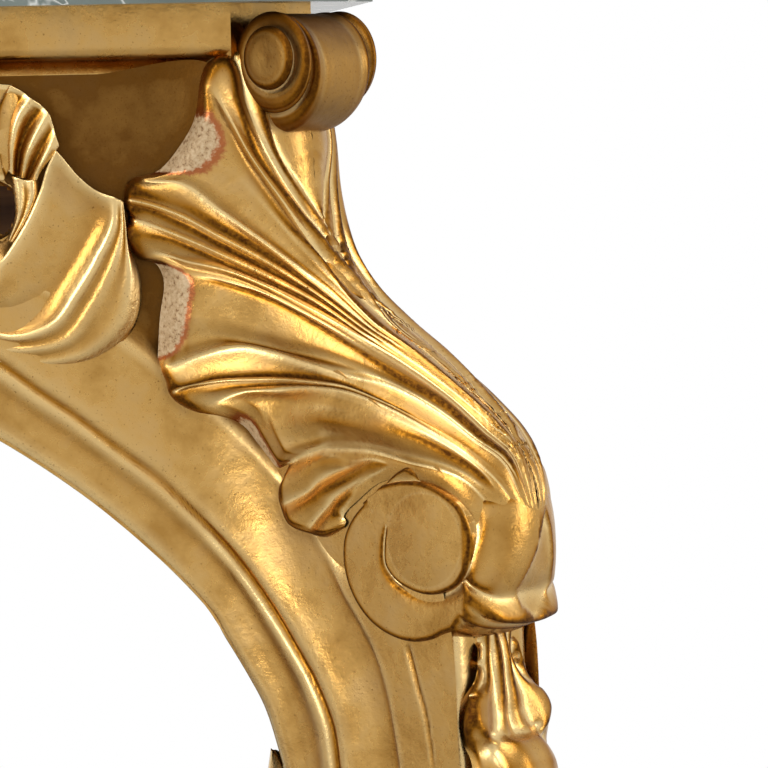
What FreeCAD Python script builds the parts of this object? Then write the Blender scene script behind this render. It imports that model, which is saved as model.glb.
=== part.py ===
import FreeCAD, Part

import math
import os

from FreeCAD import Vector

# A carved wall console table: a loose marble slab on a moulded frieze, pierced aprons with shells and
# scrolls, four scrolled legs and a serpentine stretcher. The back goes against a wall.
# All lengths are in millimetres, +Z is up, the front faces -Y, and the wall is on the +Y side.
# While the pieces are made, y = 0 is the front face of the frieze and x = 0 is the middle of the table.

# Whole table
TOP_HEIGHT = 890.0
FRAME_WIDTH = 1040.0
FRAME_DEPTH = 400.0

# Marble slab
MARBLE_THICK = 25.0
MARBLE_OVERHANG = 32.0
MARBLE_EDGE_ROUND = 7.0

# Frieze: a flat fascia over a small ogee
FASCIA_HEIGHT = 21.0
OGEE_HEIGHT = 14.0
OGEE_SETBACK = 14.0
RAIL_THICK = 45.0
BACK_RAIL_THICK = 25.0
BACK_RAIL_HEIGHT = 165.0
BEARER_WIDTH = 40.0
BEARER_HEIGHT = 28.0
BEARER_SPACING = 360.0

# Front legs, whose posts stand at 45 degrees across the corners
CORNER_FACET = 64.0
POST_DEPTH = 96.0
KNEE_REACH = 174.0
NOSE_DEPTH = 26.0
NOSE_OVERLAP = 8.0
VOLUTE_RADIUS = 50.0
VOLUTE_WIDTH = 68.0
VOLUTE_RIM_ROUND = 26.0
EYE_RADIUS = 18.0
EYE_PROUD = 4.0
CURL_RADIUS = 30.0
CURL_WIDTH = 60.0
CURL_DROP = 37.0
CURL_STAND_OFF = 18.5
CURL_RIM_ROUND = 20.0

# Rear legs, which stand flat against the wall
REAR_LEG_THICK = 60.0
REAR_POST_DEPTH = 84.0
REAR_KNEE_REACH = 104.0
REAR_NOSE_DEPTH = 22.0
REAR_VOLUTE_RADIUS = 34.0
REAR_VOLUTE_WIDTH = 60.0
REAR_RIM_ROUND = 10.0
REAR_CURL_RADIUS = 15.0
REAR_CURL_WIDTH = 52.0
REAR_CURL_RIM_ROUND = 5.0

# Feet
FOOT_BLOCK_HEIGHT = 14.0
FOOT_BLOCK_MARGIN = 4.0
FOOT_SCROLL_RADIUS = 30.0
FOOT_SCROLL_SINK = 2.0
REAR_FOOT_SCROLL_RADIUS = 24.0

# Aprons and what is carved on them
APRON_THICK = 36.0
GROUND_RECESS = 8.0
WEB_RADIUS = 100.0
ARCH_BEAD_PROUD = 3.0
WEB_CARVING_REACH = 26.0
SHELL_PROUD = 8.0
SCROLL_PROUD = 10.0
LEAF_PROUD = 9.0
REAR_LEAF_THICK = 8.0
CARTOUCHE_WIDTH = 230.0
CARTOUCHE_HEIGHT = 222.0
CARTOUCHE_PROUD = 26.0
CARTOUCHE_SHELL_PROUD = 14.0

# Stretcher
STRETCHER_HEIGHT = 104.0
STRETCHER_THICK = 34.0
ARM_WIDTH = 44.0
BOSS_RADIUS = 70.0
BOSS_HEIGHT = 60.0
BOSS_SETBACK = 205.0
FINIAL_RADIUS = 34.0
FINIAL_HEIGHT = 120.0
FINIAL_PEG_RADIUS = 9.0
FINIAL_PEG_LENGTH = 24.0
DOWEL_RADIUS = 5.0
DOWEL_LENGTH = 44.0

# Joints and fastenings
TENON_THICK = 20.0
TENON_WIDTH = 32.0
TENON_LENGTH = 18.0
TENON_ROOT = 6.0
BACK_TENON_THICK = 12.0
BACK_TENON_LENGTH = 30.0
BACK_TENON_SHOULDER = 20.0
BLOCK_LEG = 26.0
BLOCK_CLEARANCE = 2.0
REAR_BLOCK_HEIGHT = 110.0
WALL_HOLE_RADIUS = 3.5
WALL_HOLE_INSET = 220.0
WALL_HOLE_DROP = 60.0
PLATE_WIDTH = 60.0
PLATE_HEIGHT = 30.0
PLATE_THICK = 2.5
PLATE_SCREW_INSET = 8.0
SCREW_RADIUS = 2.0
SCREW_LENGTH = 14.0
SCREW_HEAD_RADIUS = 4.0
SCREW_HEAD_HEIGHT = 1.5

# How far a cutting tool runs past what it cuts
OVERRUN = 60.0

# Stretches that a closed carved outline is made of
STRETCHES = 6
FULL_TURN = 360.0

# Places worked out from the sizes above
CANT = math.radians(45.0)
ROOT_HALF = math.sin(CANT)
FRAME_TOP = TOP_HEIGHT - MARBLE_THICK
FRIEZE_BOTTOM = FRAME_TOP - FASCIA_HEIGHT - OGEE_HEIGHT
HALF_WIDTH = FRAME_WIDTH / 2
HALF_FACET = CORNER_FACET / 2
CORNER_X = HALF_WIDTH - CORNER_FACET * ROOT_HALF
CORNER_Y = CORNER_FACET * ROOT_HALF
WEB_TANGENT = WEB_RADIUS * math.tan(CANT / 2)
REAR_LEG_Y = FRAME_DEPTH - REAR_LEG_THICK / 2
REAR_LEG_FRONT = FRAME_DEPTH - REAR_LEG_THICK
APRON_BACK = GROUND_RECESS + APRON_THICK

# Leg outlines: each pair is a share of the knee's reach and a share of the frame's height
NOSE_SHARES = [
    (0.144, 0.921), (0.155, 0.889), (0.230, 0.852), (0.328, 0.828), (0.460, 0.808), (0.615, 0.788),
    (0.764, 0.766), (0.874, 0.747), (0.954, 0.725), (0.986, 0.703), (0.989, 0.682),
]
VOLUTE_SHARE = (0.701, 0.680)
EYE_SHARE = (0.730, 0.683)
ARCH_SHARES = [
    (-0.351, 0.666), (-0.188, 0.641), (-0.075, 0.6156), (0.014, 0.5945), (0.077, 0.578),
]
POST_FOOT_SHARE = 0.692
PLATE_FRONT_SHARES = [(0.780, 0.620), (0.750, 0.578)]
# Level, inner edge and outer edge of the lower leg, and its width as a share of the leg's thickness
SHAFT_SHARES = [
    (0.578, 0.077, 0.835, 0.99), (0.539, 0.153, 0.845, 0.985), (0.462, 0.201, 0.805, 0.96),
    (0.382, 0.172, 0.690, 0.91), (0.289, 0.086, 0.529, 0.84), (0.220, 0.011, 0.414, 0.79),
    (0.150, -0.034, 0.310, 0.77), (0.092, -0.023, 0.322, 0.80), (0.049, 0.057, 0.356, 0.86),
]
ARM_LEVEL_INDEX = 6
FOOT_SHARE = 0.356
# Level, outer edge and width of the leaf on the front of the lower leg
LEG_LEAF_SHARES = [
    (0.625, 0.850, 0.62), (0.584, 0.875, 0.75), (0.563, 0.930, 0.84), (0.545, 0.989, 0.88),
    (0.522, 0.955, 0.80), (0.492, 0.875, 0.60), (0.458, 0.820, 0.36),
]
INNER_LEAF_SHARES = [
    (0.115, 0.520), (0.012, 0.527), (-0.035, 0.541), (-0.080, 0.540), (-0.083, 0.520), (-0.034, 0.491),
    (0.075, 0.462), (0.185, 0.434), (0.260, 0.455),
]
INNER_LEAF_WIDTH_SHARE = 0.5
REAR_LEAF_SHARES = [
    (0.02, 0.905), (0.06, 0.870), (0.20, 0.842), (0.42, 0.812), (0.66, 0.783), (0.50, 0.745),
    (0.20, 0.735), (-0.02, 0.775), (-0.10, 0.840), (-0.08, 0.900),
]

# Carving on the corner webs and aprons: each pair is a share of the knee's reach, measured along x from
# the corner, and a share of the frame's height
CORNER_ARCH_SHARES = [
    (-0.720, 0.7405), (-0.485, 0.7076), (-0.250, 0.666), (-0.133, 0.641), (-0.052, 0.6156),
    (0.010, 0.5945), (0.055, 0.5765), (0.109, 0.539), (0.150, 0.485),
]
GROOVE_SHARES = [
    (-0.713, 0.786), (-0.503, 0.754), (-0.277, 0.716), (-0.049, 0.672), (0.102, 0.637), (0.192, 0.607),
    (0.247, 0.572), (0.268, 0.543), (0.236, 0.512), (0.150, 0.485),
]
ARCH_SHARE_END = 0.485
KNEE_LEAF_LEFT_SHARES = [
    (-0.010, 0.957), (-0.082, 0.951), (-0.114, 0.924), (-0.212, 0.902), (-0.311, 0.894), (-0.330, 0.856),
    (-0.288, 0.838), (-0.262, 0.814), (-0.286, 0.792), (-0.221, 0.775), (-0.164, 0.757), (-0.060, 0.737),
    (0.031, 0.728), (0.067, 0.714), (0.107, 0.689), (0.163, 0.683), (0.260, 0.679),
]
KNEE_LEAF_RIGHT_SHARES = [
    (0.340, 0.700), (0.400, 0.722), (0.470, 0.738), (0.500, 0.752), (0.420, 0.768), (0.300, 0.788),
    (0.190, 0.806), (0.110, 0.826), (0.060, 0.850), (0.030, 0.885), (0.020, 0.925),
]
SHELL_LEAF_SHARES = [
    (-0.523, 0.929), (-0.535, 0.913), (-0.621, 0.905), (-0.805, 0.910), (-1.006, 0.905), (-1.178, 0.913),
    (-1.236, 0.934), (-1.092, 0.950), (-0.862, 0.958), (-0.644, 0.955), (-0.575, 0.942),
]
C_SCROLL_SHARES = [
    (-0.523, 0.913), (-0.565, 0.893), (-0.621, 0.873), (-0.707, 0.847), (-0.862, 0.836), (-1.063, 0.850),
    (-1.236, 0.884), (-1.293, 0.913), (-1.350, 0.896), (-1.236, 0.850), (-0.977, 0.809), (-0.740, 0.790),
    (-0.517, 0.809), (-0.356, 0.842), (-0.322, 0.861), (-0.339, 0.883), (-0.425, 0.890),
]
PIERCING_SHARE = (-0.833, 0.8786)
PIERCING_SIZE_SHARE = (0.207, 0.0231)
# The front arch between the cartouche and the corners: shares of the corner's distance from the middle
FRONT_ARCH_SHARES = [
    (0.0, 0.736), (0.120, 0.738), (0.211, 0.752), (0.295, 0.780), (0.421, 0.795), (0.569, 0.7815),
]
FRONT_GROOVE_SHARES = [
    (0.0, 0.790), (0.120, 0.792), (0.211, 0.803), (0.295, 0.826), (0.421, 0.838), (0.569, 0.824),
]
# The side arch: shares of the side apron's length, measured from the front corner
SIDE_ARCH_SHARES = [(1.0, 0.700), (0.90, 0.732), (0.76, 0.760), (0.60, 0.765)]
SIDE_GROOVE_SHARES = [(1.0, 0.748), (0.90, 0.777), (0.76, 0.801), (0.60, 0.807)]
CARTOUCHE_SHARES = [
    (0.0, 0.0), (0.16, 0.05), (0.28, 0.17), (0.46, 0.22), (0.50, 0.40), (0.38, 0.52), (0.44, 0.68),
    (0.40, 0.86), (0.24, 0.90), (0.12, 1.0), (0.0, 0.97),
]
CARTOUCHE_SHELL_SHARES = [(0.0, 0.20), (0.17, 0.30), (0.27, 0.50), (0.24, 0.70), (0.12, 0.80), (0.0, 0.82)]
CARTOUCHE_TOP_GAP = 3.0
# Turned outlines: shares of the piece's radius and height
BOSS_SHARES = [(0.55, 0.0), (0.86, 0.12), (1.0, 0.36), (0.94, 0.64), (0.70, 0.86), (0.44, 1.0)]
FINIAL_SHARES = [
    (0.70, 0.0), (0.66, 0.06), (0.36, 0.18), (0.58, 0.30), (0.98, 0.46), (0.84, 0.66), (0.40, 0.88),
    (0.10, 1.0),
]


def points_xz(shares, x_size, z_size, x_start=0.0):
    """Points of an upright outline from its shares."""
    return [Vector(x_start + a * x_size, 0, b * z_size) for a, b in shares]


def spline(points):
    """One smooth edge through the points."""
    curve = Part.BSplineCurve()
    curve.interpolate(points)
    return curve.toShape()


def line(start, end):
    """One straight edge."""
    return Part.LineSegment(start, end).toShape()


def arc(start, middle, end):
    """One round edge through three points."""
    return Part.Arc(start, middle, end).toShape()


def face_of(edges):
    """A flat face inside a ring of edges."""
    return Part.Face(Part.Wire(edges))


def closed_spline_face(points):
    """A flat face inside one smooth closed curve, whose edge is in several equal stretches."""
    curve = Part.BSplineCurve()
    curve.interpolate(points, PeriodicFlag=True)
    step = (curve.LastParameter - curve.FirstParameter) / STRETCHES
    starts = [curve.FirstParameter + i * step for i in range(STRETCHES)]
    return face_of([curve.toShape(start, start + step) for start in starts])


def polygon_face(points):
    """A flat face with straight sides."""
    return Part.Face(Part.makePolygon(points + [points[0]]))


def box(low, high):
    """A block from its lowest to its highest corner."""
    return Part.makeBox(high.x - low.x, high.y - low.y, high.z - low.z, low)


def across(face, half):
    """An upright XZ face made into a body from y = -half to y = half."""
    moved = face.copy()
    moved.translate(Vector(0, -half, 0))
    return moved.extrude(Vector(0, 2 * half, 0))


def upright(face, bottom, top):
    """A level XY face made into a body from the bottom level to the top level."""
    moved = face.copy()
    moved.translate(Vector(0, 0, bottom))
    return moved.extrude(Vector(0, 0, top - bottom))


def one_solid(shape):
    """The shape with its split faces joined again."""
    return shape.removeSplitter()


def mirrored(shape):
    """The same piece on the other side of the table."""
    return shape.mirror(Vector(0, 0, 0), Vector(1, 0, 0))


def corner_middle():
    """The middle of the right front corner's canted face, at the floor."""
    return Vector((CORNER_X + HALF_WIDTH) / 2, CORNER_Y / 2, 0)


def at_front_corner(shape):
    """A front leg's own frame (out, across, up) set at the right front corner."""
    placed = shape.copy()
    placed.rotate(Vector(0, 0, 0), Vector(0, 0, 1), -math.degrees(CANT))
    placed.translate(corner_middle())
    return placed


def at_rear_corner(shape):
    """A rear leg's own frame set at the right end of the wall side."""
    placed = shape.copy()
    placed.translate(Vector(HALF_WIDTH, REAR_LEG_Y, 0))
    return placed


def across_corner(shape):
    """A piece of the right front corner turned over onto the table's side."""
    return shape.mirror(corner_middle(), Vector(ROOT_HALF, ROOT_HALF, 0))


# Legs

def nose_section(point, inward, half_width, depth, overlap):
    """A D-shaped wire: a round nose at the point and straight sides running inward."""
    side = Vector(0, half_width, 0)
    shoulder = point + inward * depth
    back = point + inward * (depth + overlap)
    return Part.Wire([
        line(back - side, shoulder - side),
        arc(shoulder - side, point, shoulder + side),
        line(shoulder + side, back + side),
        line(back + side, back - side),
    ])


def inward_normals(points):
    """The unit direction into the leg at each point of its nose line, which runs downwards."""
    normals = []
    for i in range(len(points)):
        before = points[max(i - 1, 0)]
        after = points[min(i + 1, len(points) - 1)]
        along = (after - before).normalize()
        normals.append(Vector(along.z, 0, -along.x))
    return normals


def leg_nose(reach):
    """The knee's outer line, from under the top curl to the volute."""
    return points_xz(NOSE_SHARES, reach, FRAME_TOP)


def drum(out, level, radius, width):
    """A round piece that lies across the leg, with its middle at the given place."""
    return Part.makeCylinder(radius, width, Vector(out, -width / 2, level), Vector(0, 1, 0))


def rounded_drum(out, level, radius, width, rim):
    """A drum with both of its rims rounded over."""
    roll = drum(out, level, radius, width)
    return roll.makeFillet(rim, [e for e in roll.Edges if isinstance(e.Curve, Part.Circle)])


def volute(reach, radius, width, rim):
    """The round scroll end of a knee, lying across the leg."""
    return rounded_drum(VOLUTE_SHARE[0] * reach, VOLUTE_SHARE[1] * FRAME_TOP, radius, width, rim)


def leg_plate(reach, thick, post_depth, nose_depth, top_edges):
    """The upper leg: a post and a flat plate that fills the knee down to the lower leg."""
    nose = leg_nose(reach)
    inner_line = [p + n * nose_depth for p, n in zip(nose, inward_normals(nose))]
    inner_line = [p for p in inner_line if p.x > NOSE_OVERLAP][:-1]
    arch = points_xz(ARCH_SHARES, reach, FRAME_TOP)
    front = points_xz(PLATE_FRONT_SHARES, reach, FRAME_TOP)
    root = Vector(-post_depth, 0, POST_FOOT_SHARE * FRAME_TOP)
    post_top = top_edges[0]
    face = face_of([
        *[line(a, b) for a, b in zip(top_edges[:-1], top_edges[1:])],
        line(top_edges[-1], inner_line[0]),
        spline(inner_line),
        line(inner_line[-1], front[0]),
        line(front[0], front[1]),
        line(front[1], arch[-1]),
        spline([*arch[::-1], root]),
        line(root, post_top),
    ])
    return across(face, thick / 2)


def leg_shaft(reach, thick, nose_depth):
    """The lower leg, a smooth body through D-shaped sections, level by level."""
    sections = []
    for level, inner, outer, width in SHAFT_SHARES:
        point = Vector(outer * reach, 0, level * FRAME_TOP)
        back = (outer - inner) * reach - nose_depth * width
        sections.append(nose_section(point, Vector(-1, 0, 0), width * thick / 2, nose_depth * width, back))
    return Part.makeLoft(sections, True, False)


def foot_scroll(reach, thick, radius):
    """The rolled toe at the bottom of a leg, cut flat where it stands on its block."""
    width = thick * SHAFT_SHARES[-1][3]
    height = FOOT_BLOCK_HEIGHT + radius - FOOT_SCROLL_SINK
    under = box(Vector(-reach, -thick, -OVERRUN), Vector(2 * reach, thick, FOOT_BLOCK_HEIGHT))
    return drum(FOOT_SHARE * reach, height, radius, width).cut(under)


def knee_strap(reach, thick, nose_depth):
    """The rounded outer strap of the knee, from under the top curl to the volute."""
    nose = leg_nose(reach)
    sections = []
    for point, inward in zip(nose, inward_normals(nose)):
        sections.append(nose_section(point, inward, thick / 2, nose_depth, NOSE_OVERLAP))
    return Part.makeLoft(sections, True, False)


def eye_boss():
    """The raised round eye that shows on both sides of a front volute."""
    width = VOLUTE_WIDTH + 2 * EYE_PROUD
    return drum(EYE_SHARE[0] * KNEE_REACH, EYE_SHARE[1] * FRAME_TOP, EYE_RADIUS, width)


def leg_leaf(reach, thick, nose_depth):
    """The leaf that hangs from the volute down the front of the lower leg."""
    sections = []
    for level, outer, width in LEG_LEAF_SHARES:
        point = Vector(outer * reach, 0, level * FRAME_TOP)
        depth = nose_depth * width
        sections.append(nose_section(point, Vector(-1, 0, 0), width * thick / 2, depth, nose_depth))
    return Part.makeLoft(sections, True, False)


def inner_leaf(reach, thick):
    """The small leaf that curls away from the inner edge of the lower leg."""
    face = closed_spline_face(points_xz(INNER_LEAF_SHARES, reach, FRAME_TOP))
    return across(face, thick * INNER_LEAF_WIDTH_SHARE / 2)


def foot_block(reach, thick, radius):
    """The low block under a rolled toe."""
    middle = FOOT_SHARE * reach
    half = radius + FOOT_BLOCK_MARGIN
    low = Vector(middle - half, -thick / 2, 0)
    return box(low, Vector(middle + half, thick / 2, FOOT_BLOCK_HEIGHT))


# Plan shapes that the corner carving follows

def plan_curve(offset, reach):
    """Edges of the line along the front, round the corner web and out along the leg's side.

    The offset is measured outwards, so the round web is WEB_RADIUS - offset.
    """
    centre = Vector(CORNER_X - WEB_TANGENT, -WEB_RADIUS, 0)
    radius = WEB_RADIUS - offset
    start = centre + Vector(-CORNER_X, radius, 0)
    turn = centre + Vector(0, radius, 0)
    half = centre + Vector(math.sin(CANT / 2), math.cos(CANT / 2), 0) * radius
    end = centre + Vector(ROOT_HALF, ROOT_HALF, 0) * radius
    out = end + Vector(ROOT_HALF, -ROOT_HALF, 0) * reach
    return [line(start, turn), arc(turn, half, end), line(end, out)]


def ground_curve(length_back):
    """Edges of the recessed ground: along the front, then round the web until it meets the leg's side."""
    centre = Vector(CORNER_X - WEB_TANGENT, -WEB_RADIUS, 0)
    radius = WEB_RADIUS + GROUND_RECESS
    meeting = CANT - math.acos(WEB_RADIUS / radius)
    start = Vector(CORNER_X - length_back, GROUND_RECESS, 0)
    turn = centre + Vector(0, radius, 0)
    half = centre + Vector(math.sin(meeting / 2), math.cos(meeting / 2), 0) * radius
    end = centre + Vector(math.sin(meeting), math.cos(meeting), 0) * radius
    return [line(start, turn), arc(turn, half, end)]


def start_of(edge):
    """Where an edge starts."""
    return edge.valueAt(edge.FirstParameter)


def end_of(edge):
    """Where an edge ends."""
    return edge.valueAt(edge.LastParameter)


def relief_plan(proud, reach):
    """The plan of carving that stands on the recessed ground, the corner web and the leg's side."""
    outer = plan_curve(proud, reach)
    ground = ground_curve(CORNER_X + WEB_TANGENT)
    tangent = end_of(plan_curve(0, reach)[1])
    out = tangent + Vector(ROOT_HALF, -ROOT_HALF, 0) * reach
    return face_of([
        *outer,
        line(end_of(outer[-1]), out),
        line(out, end_of(ground[-1])),
        *ground[::-1],
        line(start_of(ground[0]), start_of(outer[0])),
    ])


def corner_relief(outline, proud, reach):
    """Carving with the given upright outline, standing on the ground and round the web."""
    plan = upright(relief_plan(proud, reach), 0, TOP_HEIGHT)
    return across(outline, FRAME_DEPTH).common(plan)


def board_plan(length_back):
    """The plan of a corner's apron board and web, back to the given distance from the corner."""
    ground = ground_curve(length_back)
    corner_back = Vector(CORNER_X - APRON_BACK, APRON_BACK, 0)
    start_back = Vector(CORNER_X - length_back, APRON_BACK, 0)
    return face_of([
        *ground,
        line(end_of(ground[-1]), corner_back),
        line(corner_back, start_back),
        line(start_back, start_of(ground[0])),
    ])


# Aprons

def corner_points(shares):
    """Points whose x is measured from the corner in shares of the knee's reach."""
    return points_xz(shares, KNEE_REACH, FRAME_TOP, CORNER_X)


def ground_board(length_back):
    """A plain apron board with its corner web, for the right front corner, before the arch is cut."""
    return upright(board_plan(length_back), ARCH_SHARE_END * FRAME_TOP, FRIEZE_BOTTOM)


def arch_bead(groove):
    """The raised bead below a groove line, before the arch is cut."""
    tip = groove[-1]
    corner = Vector(groove[0].x, 0, tip.z)
    outline = face_of([spline(groove), line(tip, corner), line(corner, groove[0])])
    return corner_relief(outline, ARCH_BEAD_PROUD, KNEE_REACH)


def arch_void(arch):
    """All that lies below an arch line, from front to back."""
    tip = arch[-1]
    start = Vector(arch[0].x - OVERRUN, 0, arch[0].z)
    low_tip = Vector(tip.x, 0, tip.z - OVERRUN)
    low_start = Vector(start.x, 0, low_tip.z)
    outline = face_of([
        line(start, arch[0]),
        spline(arch),
        line(tip, low_tip),
        line(low_tip, low_start),
        line(low_start, start),
    ])
    return across(outline, FRAME_DEPTH)


def piercing():
    """The opening that is cut through an apron between its shell leaf and its scroll."""
    middle = corner_points([PIERCING_SHARE])[0]
    half_long = PIERCING_SIZE_SHARE[0] * KNEE_REACH
    half_high = PIERCING_SIZE_SHARE[1] * FRAME_TOP
    ellipse = Part.Ellipse(middle + Vector(half_long, 0, 0), middle + Vector(0, 0, half_high), middle)
    return across(Part.Face(Part.Wire([ellipse.toShape()])), FRAME_DEPTH)


def front_lines():
    """The arch line and the groove line of the front apron's right half."""
    arch = points_xz(FRONT_ARCH_SHARES, CORNER_X, FRAME_TOP) + corner_points(CORNER_ARCH_SHARES)
    groove = points_xz(FRONT_GROOVE_SHARES, CORNER_X, FRAME_TOP) + corner_points(GROOVE_SHARES)
    return arch, groove


def side_lines():
    """The arch line and the groove line of a side apron, made in the front's place."""
    length = REAR_LEG_FRONT - CORNER_Y
    arch = points_xz(SIDE_ARCH_SHARES, -length, FRAME_TOP, CORNER_X) + corner_points(CORNER_ARCH_SHARES)
    groove = points_xz(SIDE_GROOVE_SHARES, -length, FRAME_TOP, CORNER_X) + corner_points(GROOVE_SHARES)
    return arch, groove


def front_apron():
    """The front apron: two corner boards in one with their beads, pierced on each side."""
    arch, groove = front_lines()
    board = ground_board(CORNER_X)
    bead = arch_bead(groove)
    void = arch_void(arch)
    opening = piercing()
    whole = board.fuse([mirrored(board), bead, mirrored(bead)])
    return whole.cut([void, mirrored(void), opening, mirrored(opening)])


def side_apron():
    """The right side apron, made in the front's place and turned over onto the side."""
    arch, groove = side_lines()
    whole = ground_board(REAR_LEG_FRONT - CORNER_Y).fuse(arch_bead(groove))
    return across_corner(whole.cut([arch_void(arch), piercing()]))


def knee_leaf():
    """The big carved leaf on one side of a front knee."""
    left = corner_points(KNEE_LEAF_LEFT_SHARES)
    right = corner_points(KNEE_LEAF_RIGHT_SHARES)
    outline = closed_spline_face([*left, *right])
    return corner_relief(outline, LEAF_PROUD, KNEE_REACH)


def shell_leaf():
    """The fluted shell leaf over an apron's opening."""
    outline = closed_spline_face(corner_points(SHELL_LEAF_SHARES))
    return corner_relief(outline, SHELL_PROUD, WEB_CARVING_REACH)


def c_scroll():
    """The C-shaped scroll under an apron's opening."""
    outline = closed_spline_face(corner_points(C_SCROLL_SHARES))
    return corner_relief(outline, SCROLL_PROUD, WEB_CARVING_REACH)


def cartouche_outline(shares):
    """A flat face with equal halves, from the shares of its right half."""
    bottom = FRIEZE_BOTTOM - CARTOUCHE_TOP_GAP - CARTOUCHE_HEIGHT
    right = [Vector(a * CARTOUCHE_WIDTH, 0, bottom + b * CARTOUCHE_HEIGHT) for a, b in shares]
    left = [Vector(-p.x, 0, p.z) for p in right[::-1]]
    return face_of([spline(right), spline(left)])


def from_front(face, near, far):
    """An upright face made into a body between two distances behind the frieze's front."""
    moved = face.copy()
    moved.translate(Vector(0, near, 0))
    return moved.extrude(Vector(0, far - near, 0))


def cartouche():
    """The scalloped plaque in the middle of the front apron."""
    return from_front(cartouche_outline(CARTOUCHE_SHARES), -CARTOUCHE_PROUD, GROUND_RECESS)


def cartouche_shell():
    """The shell on the plaque."""
    near = -CARTOUCHE_PROUD - CARTOUCHE_SHELL_PROUD
    return from_front(cartouche_outline(CARTOUCHE_SHELL_SHARES), near, -CARTOUCHE_PROUD)


# Frieze and frame

def frieze_profile():
    """The section of the frieze: y is the distance behind its face."""
    fascia_bottom = FRAME_TOP - FASCIA_HEIGHT
    middle = Vector(0, OGEE_SETBACK / 2, fascia_bottom - OGEE_HEIGHT / 2)
    slack = (1 - ROOT_HALF) / 2
    start = Vector(0, 0, fascia_bottom)
    end = Vector(0, OGEE_SETBACK, FRIEZE_BOTTOM)
    upper = Vector(0, slack * OGEE_SETBACK, fascia_bottom - ROOT_HALF * OGEE_HEIGHT / 2)
    lower = Vector(0, OGEE_SETBACK - slack * OGEE_SETBACK, FRIEZE_BOTTOM + ROOT_HALF * OGEE_HEIGHT / 2)
    return face_of([
        line(Vector(0, 0, FRAME_TOP), start),
        arc(start, upper, middle),
        arc(middle, lower, end),
        line(end, Vector(0, RAIL_THICK, FRIEZE_BOTTOM)),
        line(Vector(0, RAIL_THICK, FRIEZE_BOTTOM), Vector(0, RAIL_THICK, FRAME_TOP)),
        line(Vector(0, RAIL_THICK, FRAME_TOP), Vector(0, 0, FRAME_TOP)),
    ])


def frieze_run(start_x, length):
    """A straight run of frieze along x."""
    section = frieze_profile()
    section.translate(Vector(start_x, 0, 0))
    return section.extrude(Vector(length, 0, 0))


def frieze_tenon():
    """The tongue that joins a frieze rail to a front post, in the leg's own frame."""
    middle_out = -RAIL_THICK / (2 * ROOT_HALF) - TENON_ROOT
    middle_up = (FRAME_TOP + FRIEZE_BOTTOM) / 2
    low = Vector(middle_out - TENON_WIDTH / 2, -HALF_FACET - TENON_ROOT, middle_up - TENON_THICK / 2)
    high = Vector(middle_out + TENON_WIDTH / 2, -HALF_FACET + TENON_LENGTH, middle_up + TENON_THICK / 2)
    return box(low, high)


def front_rail():
    """The front frieze rail, cut to the posts' sides."""
    plan = polygon_face([
        Vector(-CORNER_X, 0, 0), Vector(CORNER_X, 0, 0),
        Vector(CORNER_X - RAIL_THICK, RAIL_THICK, 0), Vector(RAIL_THICK - CORNER_X, RAIL_THICK, 0),
    ])
    rail = frieze_run(-CORNER_X, 2 * CORNER_X).common(upright(plan, 0, TOP_HEIGHT))
    tongue = at_front_corner(frieze_tenon())
    return one_solid(rail.fuse([tongue, mirrored(tongue)]))


def side_rail():
    """The right frieze rail, which runs from the front post to the wall."""
    length = FRAME_DEPTH - CORNER_Y
    plan = polygon_face([
        Vector(CORNER_X - length, 0, 0), Vector(CORNER_X, 0, 0),
        Vector(CORNER_X - RAIL_THICK, RAIL_THICK, 0), Vector(CORNER_X - length, RAIL_THICK, 0),
    ])
    rail = frieze_run(CORNER_X - length, length).common(upright(plan, 0, TOP_HEIGHT))
    return one_solid(across_corner(rail.fuse(at_front_corner(frieze_tenon()))))


def back_rail():
    """The plain rail along the wall, with a tenon into each rear post and two screw holes."""
    half = HALF_WIDTH - REAR_POST_DEPTH
    rear_face = FRAME_DEPTH
    bottom = FRAME_TOP - BACK_RAIL_HEIGHT
    rail = box(Vector(-half, rear_face - BACK_RAIL_THICK, bottom), Vector(half, rear_face, FRAME_TOP))
    rail = rail.fuse(back_tenons())
    for x in wall_hole_places():
        start = Vector(x, rear_face - OVERRUN, FRAME_TOP - WALL_HOLE_DROP)
        rail = rail.cut(Part.makeCylinder(WALL_HOLE_RADIUS, 2 * OVERRUN, start, Vector(0, 1, 0)))
    return one_solid(rail)


def back_tenons():
    """The two tenons of the back rail as one long bar through it."""
    half = HALF_WIDTH - REAR_POST_DEPTH + BACK_TENON_LENGTH
    middle = FRAME_DEPTH - BACK_RAIL_THICK / 2
    low = Vector(-half, middle - BACK_TENON_THICK / 2, FRAME_TOP - BACK_RAIL_HEIGHT + BACK_TENON_SHOULDER)
    return box(low, Vector(half, middle + BACK_TENON_THICK / 2, FRAME_TOP - BACK_TENON_SHOULDER))


def wall_hole_places():
    """The x of each wall screw."""
    place = HALF_WIDTH - WALL_HOLE_INSET
    return [-place, place]


def bearer():
    """The right cross bearer under the slab."""
    middle = BEARER_SPACING / 2
    low = Vector(middle - BEARER_WIDTH / 2, RAIL_THICK, FRAME_TOP - BEARER_HEIGHT)
    return box(low, Vector(middle + BEARER_WIDTH / 2, FRAME_DEPTH - BACK_RAIL_THICK, FRAME_TOP))


def front_glue_blocks():
    """Two wedge blocks behind the right front post, one on each rail."""
    meeting = Vector(CORNER_X - RAIL_THICK, RAIL_THICK, 0)
    along_post = Vector(-ROOT_HALF, ROOT_HALF, 0) * BLOCK_LEG
    plan = polygon_face([meeting, meeting + Vector(-BLOCK_LEG, 0, 0), meeting + along_post])
    block = upright(plan, FRIEZE_BOTTOM + BLOCK_CLEARANCE, FRAME_TOP - BLOCK_CLEARANCE)
    return Part.makeCompound([block, across_corner(block)])


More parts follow.
